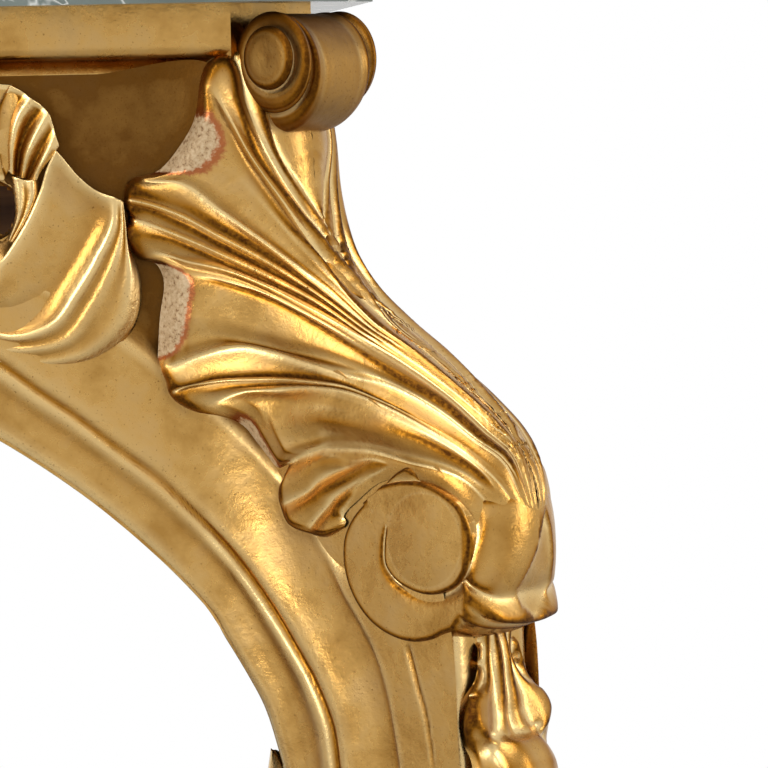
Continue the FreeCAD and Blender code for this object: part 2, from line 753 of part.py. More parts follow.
def rear_glue_block():
    """The block in the corner of the back rail and the right rear post."""
    side = HALF_WIDTH - REAR_POST_DEPTH
    front = FRAME_DEPTH - BACK_RAIL_THICK
    top = FRAME_TOP - BLOCK_CLEARANCE
    low = Vector(side - BLOCK_LEG, front - BLOCK_LEG, top - REAR_BLOCK_HEIGHT)
    return box(low, Vector(side, front, top))


def wall_plates():
    """Two flat plates on the inside of the back rail, which the wall screws pull on."""
    plates = []
    front = FRAME_DEPTH - BACK_RAIL_THICK
    level = FRAME_TOP - WALL_HOLE_DROP
    for x in wall_hole_places():
        low = Vector(x - PLATE_WIDTH / 2, front - PLATE_THICK, level - PLATE_HEIGHT / 2)
        plate = box(low, low + Vector(PLATE_WIDTH, PLATE_THICK, PLATE_HEIGHT))
        bore_start = Vector(x, front - OVERRUN, level)
        bore = Part.makeCylinder(WALL_HOLE_RADIUS, 2 * OVERRUN, bore_start, Vector(0, 1, 0))
        plates.append(plate.cut(bore))
    return Part.makeCompound(plates)


def plate_screws():
    """The small screws that hold the two wall plates."""
    screws = []
    front = FRAME_DEPTH - BACK_RAIL_THICK
    level = FRAME_TOP - WALL_HOLE_DROP
    for x in wall_hole_places():
        for side in (-1, 1):
            place = x + side * (PLATE_WIDTH / 2 - PLATE_SCREW_INSET)
            head_start = Vector(place, front - PLATE_THICK - SCREW_HEAD_HEIGHT, level)
            head = Part.makeCylinder(SCREW_HEAD_RADIUS, SCREW_HEAD_HEIGHT, head_start, Vector(0, 1, 0))
            whole_length = SCREW_HEAD_HEIGHT + SCREW_LENGTH
            shank = Part.makeCylinder(SCREW_RADIUS, whole_length, head_start, Vector(0, 1, 0))
            screws.append(head.fuse(shank))
    return Part.makeCompound([one_solid(s) for s in screws])


def marble_top():
    """The slab: it overhangs the front and the sides and is flush with the wall side."""
    turn = MARBLE_OVERHANG * math.tan(CANT / 2)
    side = HALF_WIDTH + MARBLE_OVERHANG
    corner = [
        Vector(CORNER_X + turn, -MARBLE_OVERHANG, 0),
        Vector(side, CORNER_Y - turn, 0),
        Vector(side, FRAME_DEPTH, 0),
    ]
    outline = corner + [Vector(-p.x, p.y, 0) for p in corner[::-1]]
    slab = upright(polygon_face(outline), FRAME_TOP, TOP_HEIGHT)
    rounded = []
    for edge in slab.Edges:
        ends = edge.BoundBox
        on_top = ends.ZMin > TOP_HEIGHT - MARBLE_EDGE_ROUND
        along_wall = ends.YMin > FRAME_DEPTH - MARBLE_EDGE_ROUND
        if on_top and not along_wall:
            rounded.append(edge)
    return slab.makeFillet(MARBLE_EDGE_ROUND, rounded)


# Stretcher

def arm(path, start, direction):
    """A stretcher arm with the board's section, carried along its path."""
    side = Vector(-direction.y, direction.x, 0) * (ARM_WIDTH / 2)
    low = start + Vector(0, 0, STRETCHER_HEIGHT)
    high = low + Vector(0, 0, STRETCHER_THICK)
    section = Part.makePolygon([low - side, low + side, high + side, high - side, low - side])
    lifted = Part.Wire(path)
    lifted.translate(Vector(0, 0, STRETCHER_HEIGHT))
    pipe = Part.BRepOffsetAPI.MakePipeShell(lifted)
    pipe.add(section)
    pipe.build()
    pipe.makeSolid()
    return pipe.shape()


def tangent_arc(start, direction, end):
    """The round edge from start to end that sets off in the given direction, and its last direction."""
    chord = end - start
    turn = math.atan2(direction.x * chord.y - direction.y * chord.x, direction.dot(chord))
    unit = chord.normalize()
    span = (end - start).Length
    sagitta = span / 2 * math.tan(turn / 2)
    middle = (start + end) / 2 + Vector(unit.y, -unit.x, 0) * sagitta
    angle = 2 * turn
    last_x = direction.x * math.cos(angle) - direction.y * math.sin(angle)
    last_y = direction.x * math.sin(angle) + direction.y * math.cos(angle)
    return arc(start, middle, end), Vector(last_x, last_y, 0)


def front_arm(boss_place):
    """The right front arm: an S in plan from the leg's inner edge to the boss."""
    start = corner_middle()
    away = Vector(-ROOT_HALF, ROOT_HALF, 0)
    middle = (start + boss_place) / 2
    first, heading = tangent_arc(start, away, middle)
    second, heading = tangent_arc(middle, heading, boss_place)
    return arm([first, second], start, away)


def rear_arm(boss_place):
    """The right rear arm: one round sweep from the rear leg to the boss."""
    start = Vector(HALF_WIDTH, REAR_LEG_Y, 0)
    away = Vector(-1, 0, 0)
    sweep, heading = tangent_arc(start, away, boss_place)
    return arm([sweep], start, away)


def turned(shares, radius, height, place, bottom):
    """A round body from the shares of its outline, flat at the bottom and at the top."""
    outline = [Vector(a * radius, 0, bottom + b * height) for a, b in shares]
    low = Vector(0, 0, outline[0].z)
    high = Vector(0, 0, outline[-1].z)
    face = face_of([line(low, outline[0]), spline(outline), line(outline[-1], high), line(high, low)])
    body = face.revolve(Vector(0, 0, 0), Vector(0, 0, 1), FULL_TURN)
    body.translate(place)
    return body


def leg_dowel(reach):
    """The peg across the joint of a stretcher arm and a leg, in the leg's own frame."""
    level = STRETCHER_HEIGHT + STRETCHER_THICK / 2
    inner_edge = SHAFT_SHARES[ARM_LEVEL_INDEX][1] * reach
    start = Vector(inner_edge - DOWEL_LENGTH / 2, 0, level)
    return Part.makeCylinder(DOWEL_RADIUS, DOWEL_LENGTH, start, Vector(1, 0, 0))


# All pieces, in the place where they are made

def solids_of(shape):
    """The shape's solids as one body, or as a group where there are several."""
    found = shape.Solids
    return found[0] if len(found) == 1 else Part.makeCompound(found)


def both_sides(nodes, name, shape):
    """Store a piece of the right side and its twin on the left."""
    nodes[name + "_right"] = solids_of(shape)
    nodes[name + "_left"] = solids_of(mirrored(shape))


def front_leg_pieces(tenon):
    """The pieces of a front leg in the leg's own frame."""
    post_top = [
        Vector(-POST_DEPTH, 0, FRAME_TOP),
        Vector(0, 0, FRAME_TOP),
        Vector(0, 0, NOSE_SHARES[0][1] * FRAME_TOP),
    ]
    scroll_end = volute(KNEE_REACH, VOLUTE_RADIUS, VOLUTE_WIDTH, VOLUTE_RIM_ROUND)
    plate = leg_plate(KNEE_REACH, CORNER_FACET, POST_DEPTH, NOSE_DEPTH, post_top)
    shaft = leg_shaft(KNEE_REACH, CORNER_FACET, NOSE_DEPTH)
    toe = foot_scroll(KNEE_REACH, CORNER_FACET, FOOT_SCROLL_RADIUS)
    leg = plate.cut(scroll_end).fuse([shaft.cut(scroll_end), toe])
    strap = knee_strap(KNEE_REACH, CORNER_FACET, NOSE_DEPTH)
    scroll = strap.fuse(scroll_end.fuse(eye_boss())).cut(leg)
    curl = rounded_drum(CURL_STAND_OFF, FRAME_TOP - CURL_DROP, CURL_RADIUS, CURL_WIDTH, CURL_RIM_ROUND)
    leaf = leg_leaf(KNEE_REACH, CORNER_FACET, NOSE_DEPTH).cut([leg, scroll])
    curled = inner_leaf(KNEE_REACH, CORNER_FACET).cut(leg)
    for side in (tenon, tenon.mirror(Vector(0, 0, 0), Vector(0, 1, 0))):
        leg = leg.cut(side)
    return {
        "front_leg": leg,
        "knee_scroll": scroll,
        "knee_curl": curl.cut([leg, scroll]),
        "leg_leaf": leaf,
        "inner_leaf": curled,
        "front_foot_block": foot_block(KNEE_REACH, CORNER_FACET, FOOT_SCROLL_RADIUS),
    }


def rear_leg_pieces():
    """The pieces of a rear leg in the leg's own frame."""
    setback = -OGEE_SETBACK
    post_top = [
        Vector(-REAR_POST_DEPTH, 0, FRAME_TOP),
        Vector(-RAIL_THICK, 0, FRAME_TOP),
        Vector(-RAIL_THICK, 0, FRIEZE_BOTTOM),
        Vector(setback, 0, FRIEZE_BOTTOM),
        Vector(setback, 0, NOSE_SHARES[0][1] * FRAME_TOP),
    ]
    scroll_end = volute(REAR_KNEE_REACH, REAR_VOLUTE_RADIUS, REAR_VOLUTE_WIDTH, REAR_RIM_ROUND)
    plate = leg_plate(REAR_KNEE_REACH, REAR_LEG_THICK, REAR_POST_DEPTH, REAR_NOSE_DEPTH, post_top)
    shaft = leg_shaft(REAR_KNEE_REACH, REAR_LEG_THICK, REAR_NOSE_DEPTH)
    toe = foot_scroll(REAR_KNEE_REACH, REAR_LEG_THICK, REAR_FOOT_SCROLL_RADIUS)
    leg = plate.cut(scroll_end).fuse([shaft.cut(scroll_end), toe])
    strap = knee_strap(REAR_KNEE_REACH, REAR_LEG_THICK, REAR_NOSE_DEPTH).cut([plate, shaft])
    scroll = strap.fuse(scroll_end)
    stand_off = setback + REAR_CURL_RADIUS
    level = FRIEZE_BOTTOM - REAR_CURL_RADIUS
    curl = rounded_drum(stand_off, level, REAR_CURL_RADIUS, REAR_CURL_WIDTH, REAR_CURL_RIM_ROUND)
    outline = closed_spline_face(points_xz(REAR_LEAF_SHARES, REAR_KNEE_REACH, FRAME_TOP))
    front_face = -REAR_LEG_THICK / 2
    leaf = from_front(outline, front_face - REAR_LEAF_THICK, front_face)
    return {
        "rear_leg": leg,
        "rear_knee_scroll": scroll,
        "rear_knee_curl": curl.cut([leg, scroll]),
        "rear_knee_leaf": leaf.cut(scroll),
        "rear_foot_block": foot_block(REAR_KNEE_REACH, REAR_LEG_THICK, REAR_FOOT_SCROLL_RADIUS),
    }


def build():
    """Every node's shape by its name."""
    nodes = {}
    front = {k: at_front_corner(v) for k, v in front_leg_pieces(frieze_tenon()).items()}
    rear = {k: at_rear_corner(v) for k, v in rear_leg_pieces().items()}
    rear["rear_leg"] = rear["rear_leg"].cut(back_tenons())

    leaf = knee_leaf().cut([front["knee_scroll"], front["knee_curl"], front["front_leg"]])
    scroll = c_scroll().cut([leaf, arch_bead(front_lines()[1])])
    side_scroll = across_corner(c_scroll().cut([leaf, arch_bead(side_lines()[1])]))
    side = side_apron()
    rear["rear_knee_leaf"] = rear["rear_knee_leaf"].cut([side, side_scroll])
    apron = front_apron()
    nodes["front_apron"] = solids_of(apron)
    nodes["front_cartouche"] = solids_of(cartouche().cut(apron))
    nodes["front_cartouche_shell"] = solids_of(cartouche_shell())
    both_sides(nodes, "side_apron", side)
    both_sides(nodes, "front_shell_leaf", shell_leaf())
    both_sides(nodes, "side_shell_leaf", across_corner(shell_leaf()))
    both_sides(nodes, "front_c_scroll", scroll)
    both_sides(nodes, "side_c_scroll", side_scroll)
    both_sides(nodes, "knee_leaf_inner", leaf)
    both_sides(nodes, "knee_leaf_outer", across_corner(leaf))

    boss_place = Vector(0, BOSS_SETBACK, 0)
    boss_bottom = STRETCHER_HEIGHT + (STRETCHER_THICK - BOSS_HEIGHT) / 2
    boss_top = boss_bottom + BOSS_HEIGHT
    boss = turned(BOSS_SHARES, BOSS_RADIUS, BOSS_HEIGHT, boss_place, boss_bottom)
    peg_start = boss_place + Vector(0, 0, boss_top - FINIAL_PEG_LENGTH)
    peg = Part.makeCylinder(FINIAL_PEG_RADIUS, FINIAL_PEG_LENGTH, peg_start)
    finial = turned(FINIAL_SHARES, FINIAL_RADIUS, FINIAL_HEIGHT, boss_place, boss_top).fuse(peg)
    nodes["stretcher_boss"] = solids_of(boss.cut(peg))
    nodes["stretcher_finial"] = solids_of(finial)

    front_dowel = at_front_corner(leg_dowel(KNEE_REACH))
    rear_dowel = at_rear_corner(leg_dowel(REAR_KNEE_REACH))
    front_arm_piece = front_arm(boss_place).cut([boss, front["front_leg"], front_dowel])
    rear_arm_piece = rear_arm(boss_place).cut([boss, rear["rear_leg"], rear_dowel])
    both_sides(nodes, "front_stretcher_arm", front_arm_piece)
    both_sides(nodes, "rear_stretcher_arm", rear_arm_piece)
    dowels = [front_dowel, rear_dowel]
    nodes["stretcher_dowels"] = Part.makeCompound(dowels + [mirrored(d) for d in dowels])
    front["front_leg"] = front["front_leg"].cut(front_dowel)
    rear["rear_leg"] = rear["rear_leg"].cut(rear_dowel)

    for name, shape in {**front, **rear}.items():
        both_sides(nodes, name, shape)
    nodes["front_frieze_rail"] = front_rail()
    both_sides(nodes, "side_frieze_rail", side_rail())
    nodes["back_rail"] = back_rail()
    both_sides(nodes, "cross_bearer", bearer())
    both_sides(nodes, "front_glue_blocks", front_glue_blocks())
    both_sides(nodes, "rear_glue_block", rear_glue_block())
    screws = plate_screws()
    nodes["back_rail"] = solids_of(nodes["back_rail"].cut(screws))
    nodes["wall_plates"] = wall_plates().cut(screws)
    nodes["wall_plate_screws"] = screws
    nodes["marble_top"] = marble_top()
    return nodes


def write(nodes):
    """Centre the table on its own box, with the floor at z = 0, and write one file for each node."""
    whole = Part.makeCompound(list(nodes.values())).optimalBoundingBox()
    shift = Vector(-(whole.XMin + whole.XMax) / 2, -(whole.YMin + whole.YMax) / 2, 0)
    os.makedirs("parts", exist_ok=True)
    for name, shape in nodes.items():
        placed = shape.copy()
        placed.translate(shift)
        placed.exportStep("parts/" + name + ".step")
    print("box", round(whole.XLength, 2), round(whole.YLength, 2), round(whole.ZLength, 2), "shift", shift)
    print("nodes", len(nodes))


if __name__ == "__main__":
    write(build())
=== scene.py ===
# %% [markdown]
# # A carved and gilded wall console table
#
# The table is softwood, carved, covered with gesso and red bole and water-gilded. The photograph is a close
# view of the right front knee. A carver works from outline to relief: the board is sawn, and the leaves are
# cut as ridges and hollows on it. This script does the same. It loads the sawn shapes as a fixed frame,
# then lays carved skins over them, each from a few lines drawn along its ridges and hollows.

# %% Load the frame
import bmesh
import bpy
import math
import numpy as np
from mathutils import Matrix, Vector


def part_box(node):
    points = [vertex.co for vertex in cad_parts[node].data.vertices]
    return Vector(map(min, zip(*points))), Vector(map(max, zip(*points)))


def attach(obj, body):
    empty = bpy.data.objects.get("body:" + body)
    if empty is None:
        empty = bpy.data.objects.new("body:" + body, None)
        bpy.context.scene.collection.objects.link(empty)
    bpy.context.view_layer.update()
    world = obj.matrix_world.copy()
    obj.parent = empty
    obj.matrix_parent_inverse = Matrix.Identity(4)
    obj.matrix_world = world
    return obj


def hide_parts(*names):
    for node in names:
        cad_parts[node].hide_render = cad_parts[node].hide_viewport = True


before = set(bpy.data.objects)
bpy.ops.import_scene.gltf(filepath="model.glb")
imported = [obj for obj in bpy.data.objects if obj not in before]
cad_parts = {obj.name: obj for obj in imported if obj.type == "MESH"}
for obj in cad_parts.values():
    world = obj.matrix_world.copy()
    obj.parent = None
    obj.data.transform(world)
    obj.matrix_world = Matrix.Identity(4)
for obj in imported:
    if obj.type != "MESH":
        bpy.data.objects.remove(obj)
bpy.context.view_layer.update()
MM = 0.001

print("nodes in the frame:", len(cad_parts))

# %% [markdown]
# ## Sizes that everything else hangs on
#
# The carved skins are worked out in millimetres. The places of the frieze, the slab and the corner come
# from the frame, so that the carving always lies on the wood that carries it. A front leg has its own
# axes: out from the canted corner, across it towards the near side, and up.

# %% Read the frame's places
def corner_of(node, end, axis):
    """One coordinate, in millimetres, of a node's lowest (0) or highest (1) corner."""
    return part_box(node)[end][axis] / MM


FACET = 64.0                       # width of the canted corner, and thickness of a front leg
HALF = FACET / 2
FRONT = corner_of("front_frieze_rail", 0, 1)
HALF_WIDTH = corner_of("side_frieze_rail_right", 1, 0)
FRAME_TOP = corner_of("marble_top", 0, 2)
FRIEZE_BOTTOM = corner_of("front_apron", 1, 2)
ROOT = math.sqrt(0.5)
CORNER_X = HALF_WIDTH - FACET * ROOT
MIDDLE = np.array([(CORNER_X + HALF_WIDTH) / 2, FRONT + FACET * ROOT / 2, 0.0])
OUT = np.array([ROOT, -ROOT, 0.0])
NEAR = np.array([-ROOT, -ROOT, 0.0])
UP = np.array([0.0, 0.0, 1.0])

print("corner at", round(CORNER_X, 2), "front at", round(FRONT, 2), "frame top", round(FRAME_TOP, 2))

# %% [markdown]
# ## The camera, and lines drawn on the picture
#
# The photograph looks almost level at the knee, from a little to the left, through a long lens. With that
# camera written down, a place in the picture is a ray in space, and a ridge that is seen in the picture
# can be put on the wood where the ray meets it.

# %% Set up the camera
PHOTO_SIDE = 768
MM_PER_PIXEL = 0.52                # at the corner
DISTANCE = 2219.0
TURN, RISE, ROLL = math.radians(-5.0), math.radians(4.0), math.radians(1.2)
CORNER_PIXEL = (230.0, 3.0)        # where the canted corner meets the slab

BACK = np.array([math.sin(TURN) * math.cos(RISE), -math.cos(TURN) * math.cos(RISE), math.sin(RISE)])
LEVEL = np.array([math.cos(TURN), math.sin(TURN), 0.0])
RIGHT = LEVEL * math.cos(ROLL) - np.cross(BACK, LEVEL) * math.sin(ROLL)
ABOVE = np.cross(BACK, RIGHT)
CENTRE = PHOTO_SIDE / 2
EYE = (
    np.array([CORNER_X, FRONT, FRAME_TOP])
    + RIGHT * (CENTRE - CORNER_PIXEL[0]) * MM_PER_PIXEL
    - ABOVE * (CENTRE - CORNER_PIXEL[1]) * MM_PER_PIXEL
    + BACK * DISTANCE
)


def add_camera():
    """A camera at the photograph's place: its matrix has the right, above and back directions as columns."""
    camera = bpy.data.objects.new("camera", bpy.data.cameras.new("camera"))
    matrix = np.eye(4)
    matrix[:3, :3] = np.column_stack([RIGHT, ABOVE, BACK])
    matrix[:3, 3] = EYE * MM
    camera.matrix_world = Matrix(matrix.tolist())
    camera.data.sensor_width = 36.0
    camera.data.sensor_height = 36.0
    camera.data.sensor_fit = "HORIZONTAL"
    camera.data.lens = DISTANCE * camera.data.sensor_width / (PHOTO_SIDE * MM_PER_PIXEL)
    camera.data.clip_end = 50.0
    bpy.context.collection.objects.link(camera)
    bpy.context.scene.camera = camera
    return camera


def rays(pixels):
    """Unit directions from the eye through pixels: -back * distance + right * x + above * y."""
    x = (pixels[..., 0] - CENTRE) * MM_PER_PIXEL
    y = (CENTRE - pixels[..., 1]) * MM_PER_PIXEL
    toward = -BACK * DISTANCE + x[..., None] * RIGHT + y[..., None] * ABOVE
    return toward / np.linalg.norm(toward, axis=-1, keepdims=True)


def seen_at(points):
    """Pixels at which points are seen: the inverse of rays."""
    offset = points - EYE
    depth = -(offset @ BACK)
    x = CENTRE + (offset @ RIGHT) / depth * DISTANCE / MM_PER_PIXEL
    y = CENTRE - (offset @ ABOVE) / depth * DISTANCE / MM_PER_PIXEL
    return np.stack([x, y], axis=-1)


add_camera()
print("eye at", np.round(EYE, 1))

# %% [markdown]
# ## The plain body under the carving
#
# Under its leaves the corner is plain: the apron's face, a hollow quarter round of 100 mm radius that turns
# it out along the leg, and the leg's side, which rounds over at the knee's outer line. Carving is a lift from
# that body along its normal, so one function that says how deep a point lies in it serves every leaf.

# %% Describe the plain body
WEB_RADIUS = 100.0
WEB_REACH = WEB_RADIUS * math.tan(math.pi / 8)  # how far the web runs along each side
WEB_CENTRE = np.array([CORNER_X - WEB_REACH, FRONT - WEB_RADIUS])
KNEE_ROUND = 36.0                  # how deep the knee's outer rounding goes
# The knee's outer line from under the curl, round the volute to its lowest point: out and height
KNEE_LINE = np.array([
    (4.0, 850.0), (12.0, 828.0), (21.0, 810.0), (25.0, 796.7), (27.0, 769.0), (40.0, 737.0), (57.1, 716.2),
    (80.0, 698.9), (107.0, 681.6), (132.9, 662.6), (152.1, 646.2), (166.0, 627.1), (171.6, 608.1),
    (172.1, 589.9), (169.0, 573.0), (160.5, 556.0), (148.0, 544.5), (133.0, 538.8), (116.0, 537.0),
])


def hermite(knots, values, at):
    """A cubic through values at knots, whose slope at each is that of a line through its neighbours."""
    slopes = np.gradient(values, knots, axis=0)
    i = np.clip(np.searchsorted(knots, at, side="right") - 1, 0, len(knots) - 2)
    span = knots[i + 1] - knots[i]
    w = (at - knots[i]) / span
    shape = (-1,) + (1,) * (values.ndim - 1)
    w, span = w.reshape(shape), span.reshape(shape)
    start, end = values[i], values[i + 1]
    rise = (3 - 2 * w) * w * w
    lean = w * (1 - w)
    return start + (end - start) * rise + span * lean * (slopes[i] * (1 - w) - slopes[i + 1] * w)


def smooth_line(points, count):
    """Evenly spread points on a smooth line through the given ones, by its length in their first two values."""
    points = np.asarray(points, float)
    steps = np.linalg.norm(np.diff(points[:, :2], axis=0), axis=1)
    lengths = np.concatenate([[0.0], np.cumsum(steps)])
    return hermite(lengths, points, np.linspace(0, lengths[-1], count))


KNEE_POINTS = 240                  # points of the line that the table measures to
TABLE_START, TABLE_END = (-160.0, 420.0), (200.0, 880.0)  # the table's corners: out and height
NORMAL_STEP = 0.05                 # half the distance over which a slope is measured
WALK_START, WALK_END, WALK_STEPS, HALVINGS = -330.0, 180.0, 96, 12  # a ray's walk before and past the corner


def make_knee_table():
    """Signed distance inside the knee's outer line, on a 1 mm grid of out and height."""
    line = smooth_line(KNEE_LINE, KNEE_POINTS)
    along = np.gradient(line, axis=0)
    s, z = np.meshgrid(*(np.arange(low, high) for low, high in zip(TABLE_START, TABLE_END)), indexing="ij")
    away_s = s[..., None] - line[:, 0]
    away_z = z[..., None] - line[:, 1]
    nearest = np.argmin(away_s**2 + away_z**2, axis=-1)
    ds = s - line[nearest, 0]
    dz = z - line[nearest, 1]
    side = along[nearest, 0] * dz - along[nearest, 1] * ds
    return -np.sign(side) * np.hypot(ds, dz)


KNEE_TABLE = make_knee_table()


def knee_depth(s, z):
    """The table read between its points: the mean of the four round a place, weighed by nearness."""
    s = np.clip(s - TABLE_START[0], 0, KNEE_TABLE.shape[0] - 1.001)
    z = np.clip(z - TABLE_START[1], 0, KNEE_TABLE.shape[1] - 1.001)
    i, j = s.astype(int), z.astype(int)
    a, b = s - i, z - j
    low = KNEE_TABLE[i, j] * (1 - a) + KNEE_TABLE[i + 1, j] * a
    high = KNEE_TABLE[i, j + 1] * (1 - a) + KNEE_TABLE[i + 1, j + 1] * a
    return low * (1 - b) + high * b


def side_share(points):
    """How far points lie towards the leg's middle plane: 1 on the leg's, web's or apron's side, less behind it."""
    x = points[..., 0] - WEB_CENTRE[0]
    y = points[..., 1] - WEB_CENTRE[1]
    web = np.where(x < 0, y, np.hypot(x, y)) - WEB_RADIUS
    return np.where(np.arctan2(x, y) > math.pi / 4, np.abs((points - MIDDLE) @ NEAR) / HALF, 1 - web / HALF)


def plan_depth(points):
    """How deep points lie behind the side, as if the leg went on outwards for ever."""
    return (1 - side_share(points)) * HALF


def body_depth(points):
    """How deep points lie in the plain corner body, rounded over by an ellipse at the knee's outer line."""
    inset = np.maximum(1 - knee_depth((points - MIDDLE) @ OUT, points[..., 2]) / KNEE_ROUND, 0)
    return (1 - np.hypot(inset, np.maximum(side_share(points), 0))) * KNEE_ROUND


def outward(points, depth):
    """The outward direction of a body: minus the slope of its depth."""
    step = np.eye(3) * NORMAL_STEP
    slope = np.stack([depth(points + d) - depth(points - d) for d in step], axis=-1)
    return -slope / np.maximum(np.linalg.norm(slope, axis=-1, keepdims=True), 1e-9)


def on_body(pixels, depth=body_depth):
    """Where the rays through pixels first meet the plain body, and its normals there.

    Each ray is walked in even steps to its first point inside, and that step is halved again and again.
    """
    shape = pixels.shape[:-1]
    toward = rays(pixels.reshape(-1, 2))
    distances = DISTANCE + np.linspace(WALK_START, WALK_END, WALK_STEPS)
    depths = np.stack([depth(EYE + toward * d) for d in distances], axis=-1)
    inside = depths > 0
    first = np.where(inside.any(-1), inside.argmax(-1), depths.argmax(-1))
    first = np.maximum(first, 1)
    near, far = distances[first - 1], distances[first]
    for _ in range(HALVINGS):
        half = (near + far) / 2
        hit = depth(EYE + toward * half[:, None]) > 0
        far = np.where(hit, half, far)
        near = np.where(hit, near, half)
    missed = ~inside.any(-1)
    far = np.where(missed, distances[first], far)
    points = EYE + toward * far[:, None]
    return points.reshape(shape + (3,)), outward(points, depth).reshape(shape + (3,))


def leg_point(s, z, t):
    """A place in a front leg's own axes: out, height and across."""
    s, z, t = np.broadcast_arrays(s, z, t)
    return MIDDLE + s[..., None] * OUT + t[..., None] * NEAR + z[..., None] * UP


nose_line = smooth_line(KNEE_LINE, 5)
print("knee line seen at", np.round(seen_at(leg_point(nose_line[:, 0], nose_line[:, 1], 0.0)), 0).tolist())

# %% [markdown]
# ## Putting a grid of points into a mesh
#
# Every carved skin is a grid of points, rows by columns. Neighbours make four-sided faces. The four copies of
# a carving, near and far side of the right leg and the same on the left, are mirror images. Each mirror turns
# the faces inside out, so their corners are then listed the other way round.

# %% Build meshes from grids
def grid_faces(rows, columns, flipped, wraps):
    """Corner numbers of the four-sided faces of a grid, whose last row joins the first where it wraps."""
    row = np.arange(rows if wraps else rows - 1)[:, None]
    column = np.arange(columns - 1)[None, :]
    following = (row + 1) % rows
    corners = [row * columns + column, following * columns + column]
    faces = np.stack([corners[0], corners[1], corners[1] + 1, corners[0] + 1], axis=-1).reshape(-1, 4)
    return faces[:, ::-1] if flipped else faces


HOLE = -1000.0                     # grid points below this height, in millimetres, make a hole in the grid
WELD = 2e-6                        # points closer than this, in metres, become one


def put_mesh(name, parts, marks=None):
    """One object from several grids: parts are (points in millimetres, flipped, wraps)."""
    places, faces, start = [], [], 0
    for points, flipped, wraps in parts:
        rows, columns = points.shape[:2]
        places.append(points.reshape(-1, 3))
        faces.append(grid_faces(rows, columns, flipped, wraps) + start)
        start += rows * columns
    places, faces = np.concatenate(places), np.concatenate(faces)
    whole = (places[faces][..., 2] > HOLE).all(axis=1)
    used, faces = np.unique(faces[whole], return_inverse=True)
    places, faces = places[used] * MM, faces.reshape(-1, 4)
    mesh = bpy.data.meshes.new(name)
    mesh.vertices.add(len(places))
    mesh.vertices.foreach_set("co", places.ravel())
    mesh.loops.add(faces.size)
    mesh.loops.foreach_set("vertex_index", faces.ravel().astype(np.int32))
    mesh.polygons.add(len(faces))
    mesh.polygons.foreach_set("loop_start", np.arange(0, faces.size, 4, dtype=np.int32))
    mesh.polygons.foreach_set("use_smooth", np.ones(len(faces), bool))
    mesh.update(calc_edges=True)
    for mark, values in (marks or {}).items():
        layer = mesh.attributes.new(mark, "FLOAT", "POINT")
        layer.data.foreach_set("value", values[used].astype(np.float32))
    welded = bmesh.new()
    welded.from_mesh(mesh)
    bmesh.ops.remove_doubles(welded, verts=welded.verts, dist=WELD)
    welded.to_mesh(mesh)
    welded.free()
    mesh.validate()
    piece = bpy.data.objects.new(name, mesh)
    bpy.context.collection.objects.link(piece)
    return piece


def across_leg(points):
    """The mirror image in a front leg's middle plane."""
    return points - 2 * ((points - MIDDLE) @ NEAR)[..., None] * NEAR


def to_left(points):
    """The mirror image on the left of the table."""
    return points * np.array([-1.0, 1.0, 1.0])


def neighbours(values, reach, wraps):
    """Values a few rows and columns away on each side, held at borders that don't wrap."""
    rows, columns = values.shape[:2]
    row, column = np.arange(rows), np.arange(columns)
    up, down = ((row - reach) % rows, (row + reach) % rows) if wraps else (
        np.clip(row - reach, 0, rows - 1), np.clip(row + reach, 0, rows - 1))
    before = values[:, np.clip(column - reach, 0, columns - 1)]
    after = values[:, np.clip(column + reach, 0, columns - 1)]
    return values[up], values[down], before, after


def grid_normals(points, flipped, wraps=False):
    """Unit normals of a grid, from the cross product of its two slopes."""
    up, down, before, after = neighbours(points, 1, wraps)
    normals = np.cross(down - up, after - before)
    normals /= np.maximum(np.linalg.norm(normals, axis=-1, keepdims=True), 1e-12)
    return -normals if flipped else normals


HOLLOW_BEND = 0.22                 # bends of 1/4.5 mm and more count as a full hollow or a full edge
BEND_REACHES, LEAST_STEP = (2, 5), 0.6  # how many points away a bend is measured, and over how much at least


def relief_marks(points, flipped, wraps):
    """How hollow and how sharp each place is, from 0 to 1: its bend, twice the rise over the step squared."""
    normals = grid_normals(points, flipped, wraps)
    bend = np.zeros(points.shape[:2])
    for reach in BEND_REACHES:
        up, down, before, after = neighbours(points, reach, wraps)
        for one, other in ((up, down), (before, after)):
            step = np.linalg.norm(one - other, axis=-1) / 2
            rise = np.einsum("ijk,ijk->ij", (one + other) / 2 - points, normals)
            bend += rise / np.maximum(step, LEAST_STEP) ** 2
    hollow = np.clip(bend / HOLLOW_BEND, 0, 1)
    edge = np.clip(-bend / HOLLOW_BEND, 0, 1)
    for _ in range(2):
        hollow = (hollow + sum(neighbours(hollow, 1, wraps)) / 4) / 2
        edge = (edge + sum(neighbours(edge, 1, wraps)) / 4) / 2
    return hollow, edge


PIECES = []


def gilded(name, parts, nodes, worn=None, grime_and_shade=None, plain=None):
    """A gilded piece: its mesh, with marks for hollows, edges, wear, and dirt with painted shade, in place of its
    nodes.

    Where plain is 1 the marks for hollows and edges are left out.
    """
    marks = {"hollow": [], "edge": [], "worn": [], "grime_and_shade": []}
    for index, (points, flipped, wraps) in enumerate(parts):
        hollow, edge = relief_marks(points, flipped, wraps)
        if plain is not None:
            hollow, edge = hollow * (1 - plain), edge * (1 - plain)
        marks["hollow"].append(hollow.ravel())
        marks["edge"].append(edge.ravel())
        # The second mark holds dirt together with painted shade
        for mark, values in (("worn", worn), ("grime_and_shade", grime_and_shade)):
            none = values is None or values[index] is None
            marks[mark].append(np.zeros(hollow.size) if none else values[index].ravel())
    piece = put_mesh(name, parts, {k: np.concatenate(v) for k, v in marks.items()})
    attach(piece, "frame")
    if nodes:
        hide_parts(*nodes)
    PIECES.append(piece)
    return piece


FACES = {"inner": "front", "outer": "side"}
PLACES = ("right", "left")


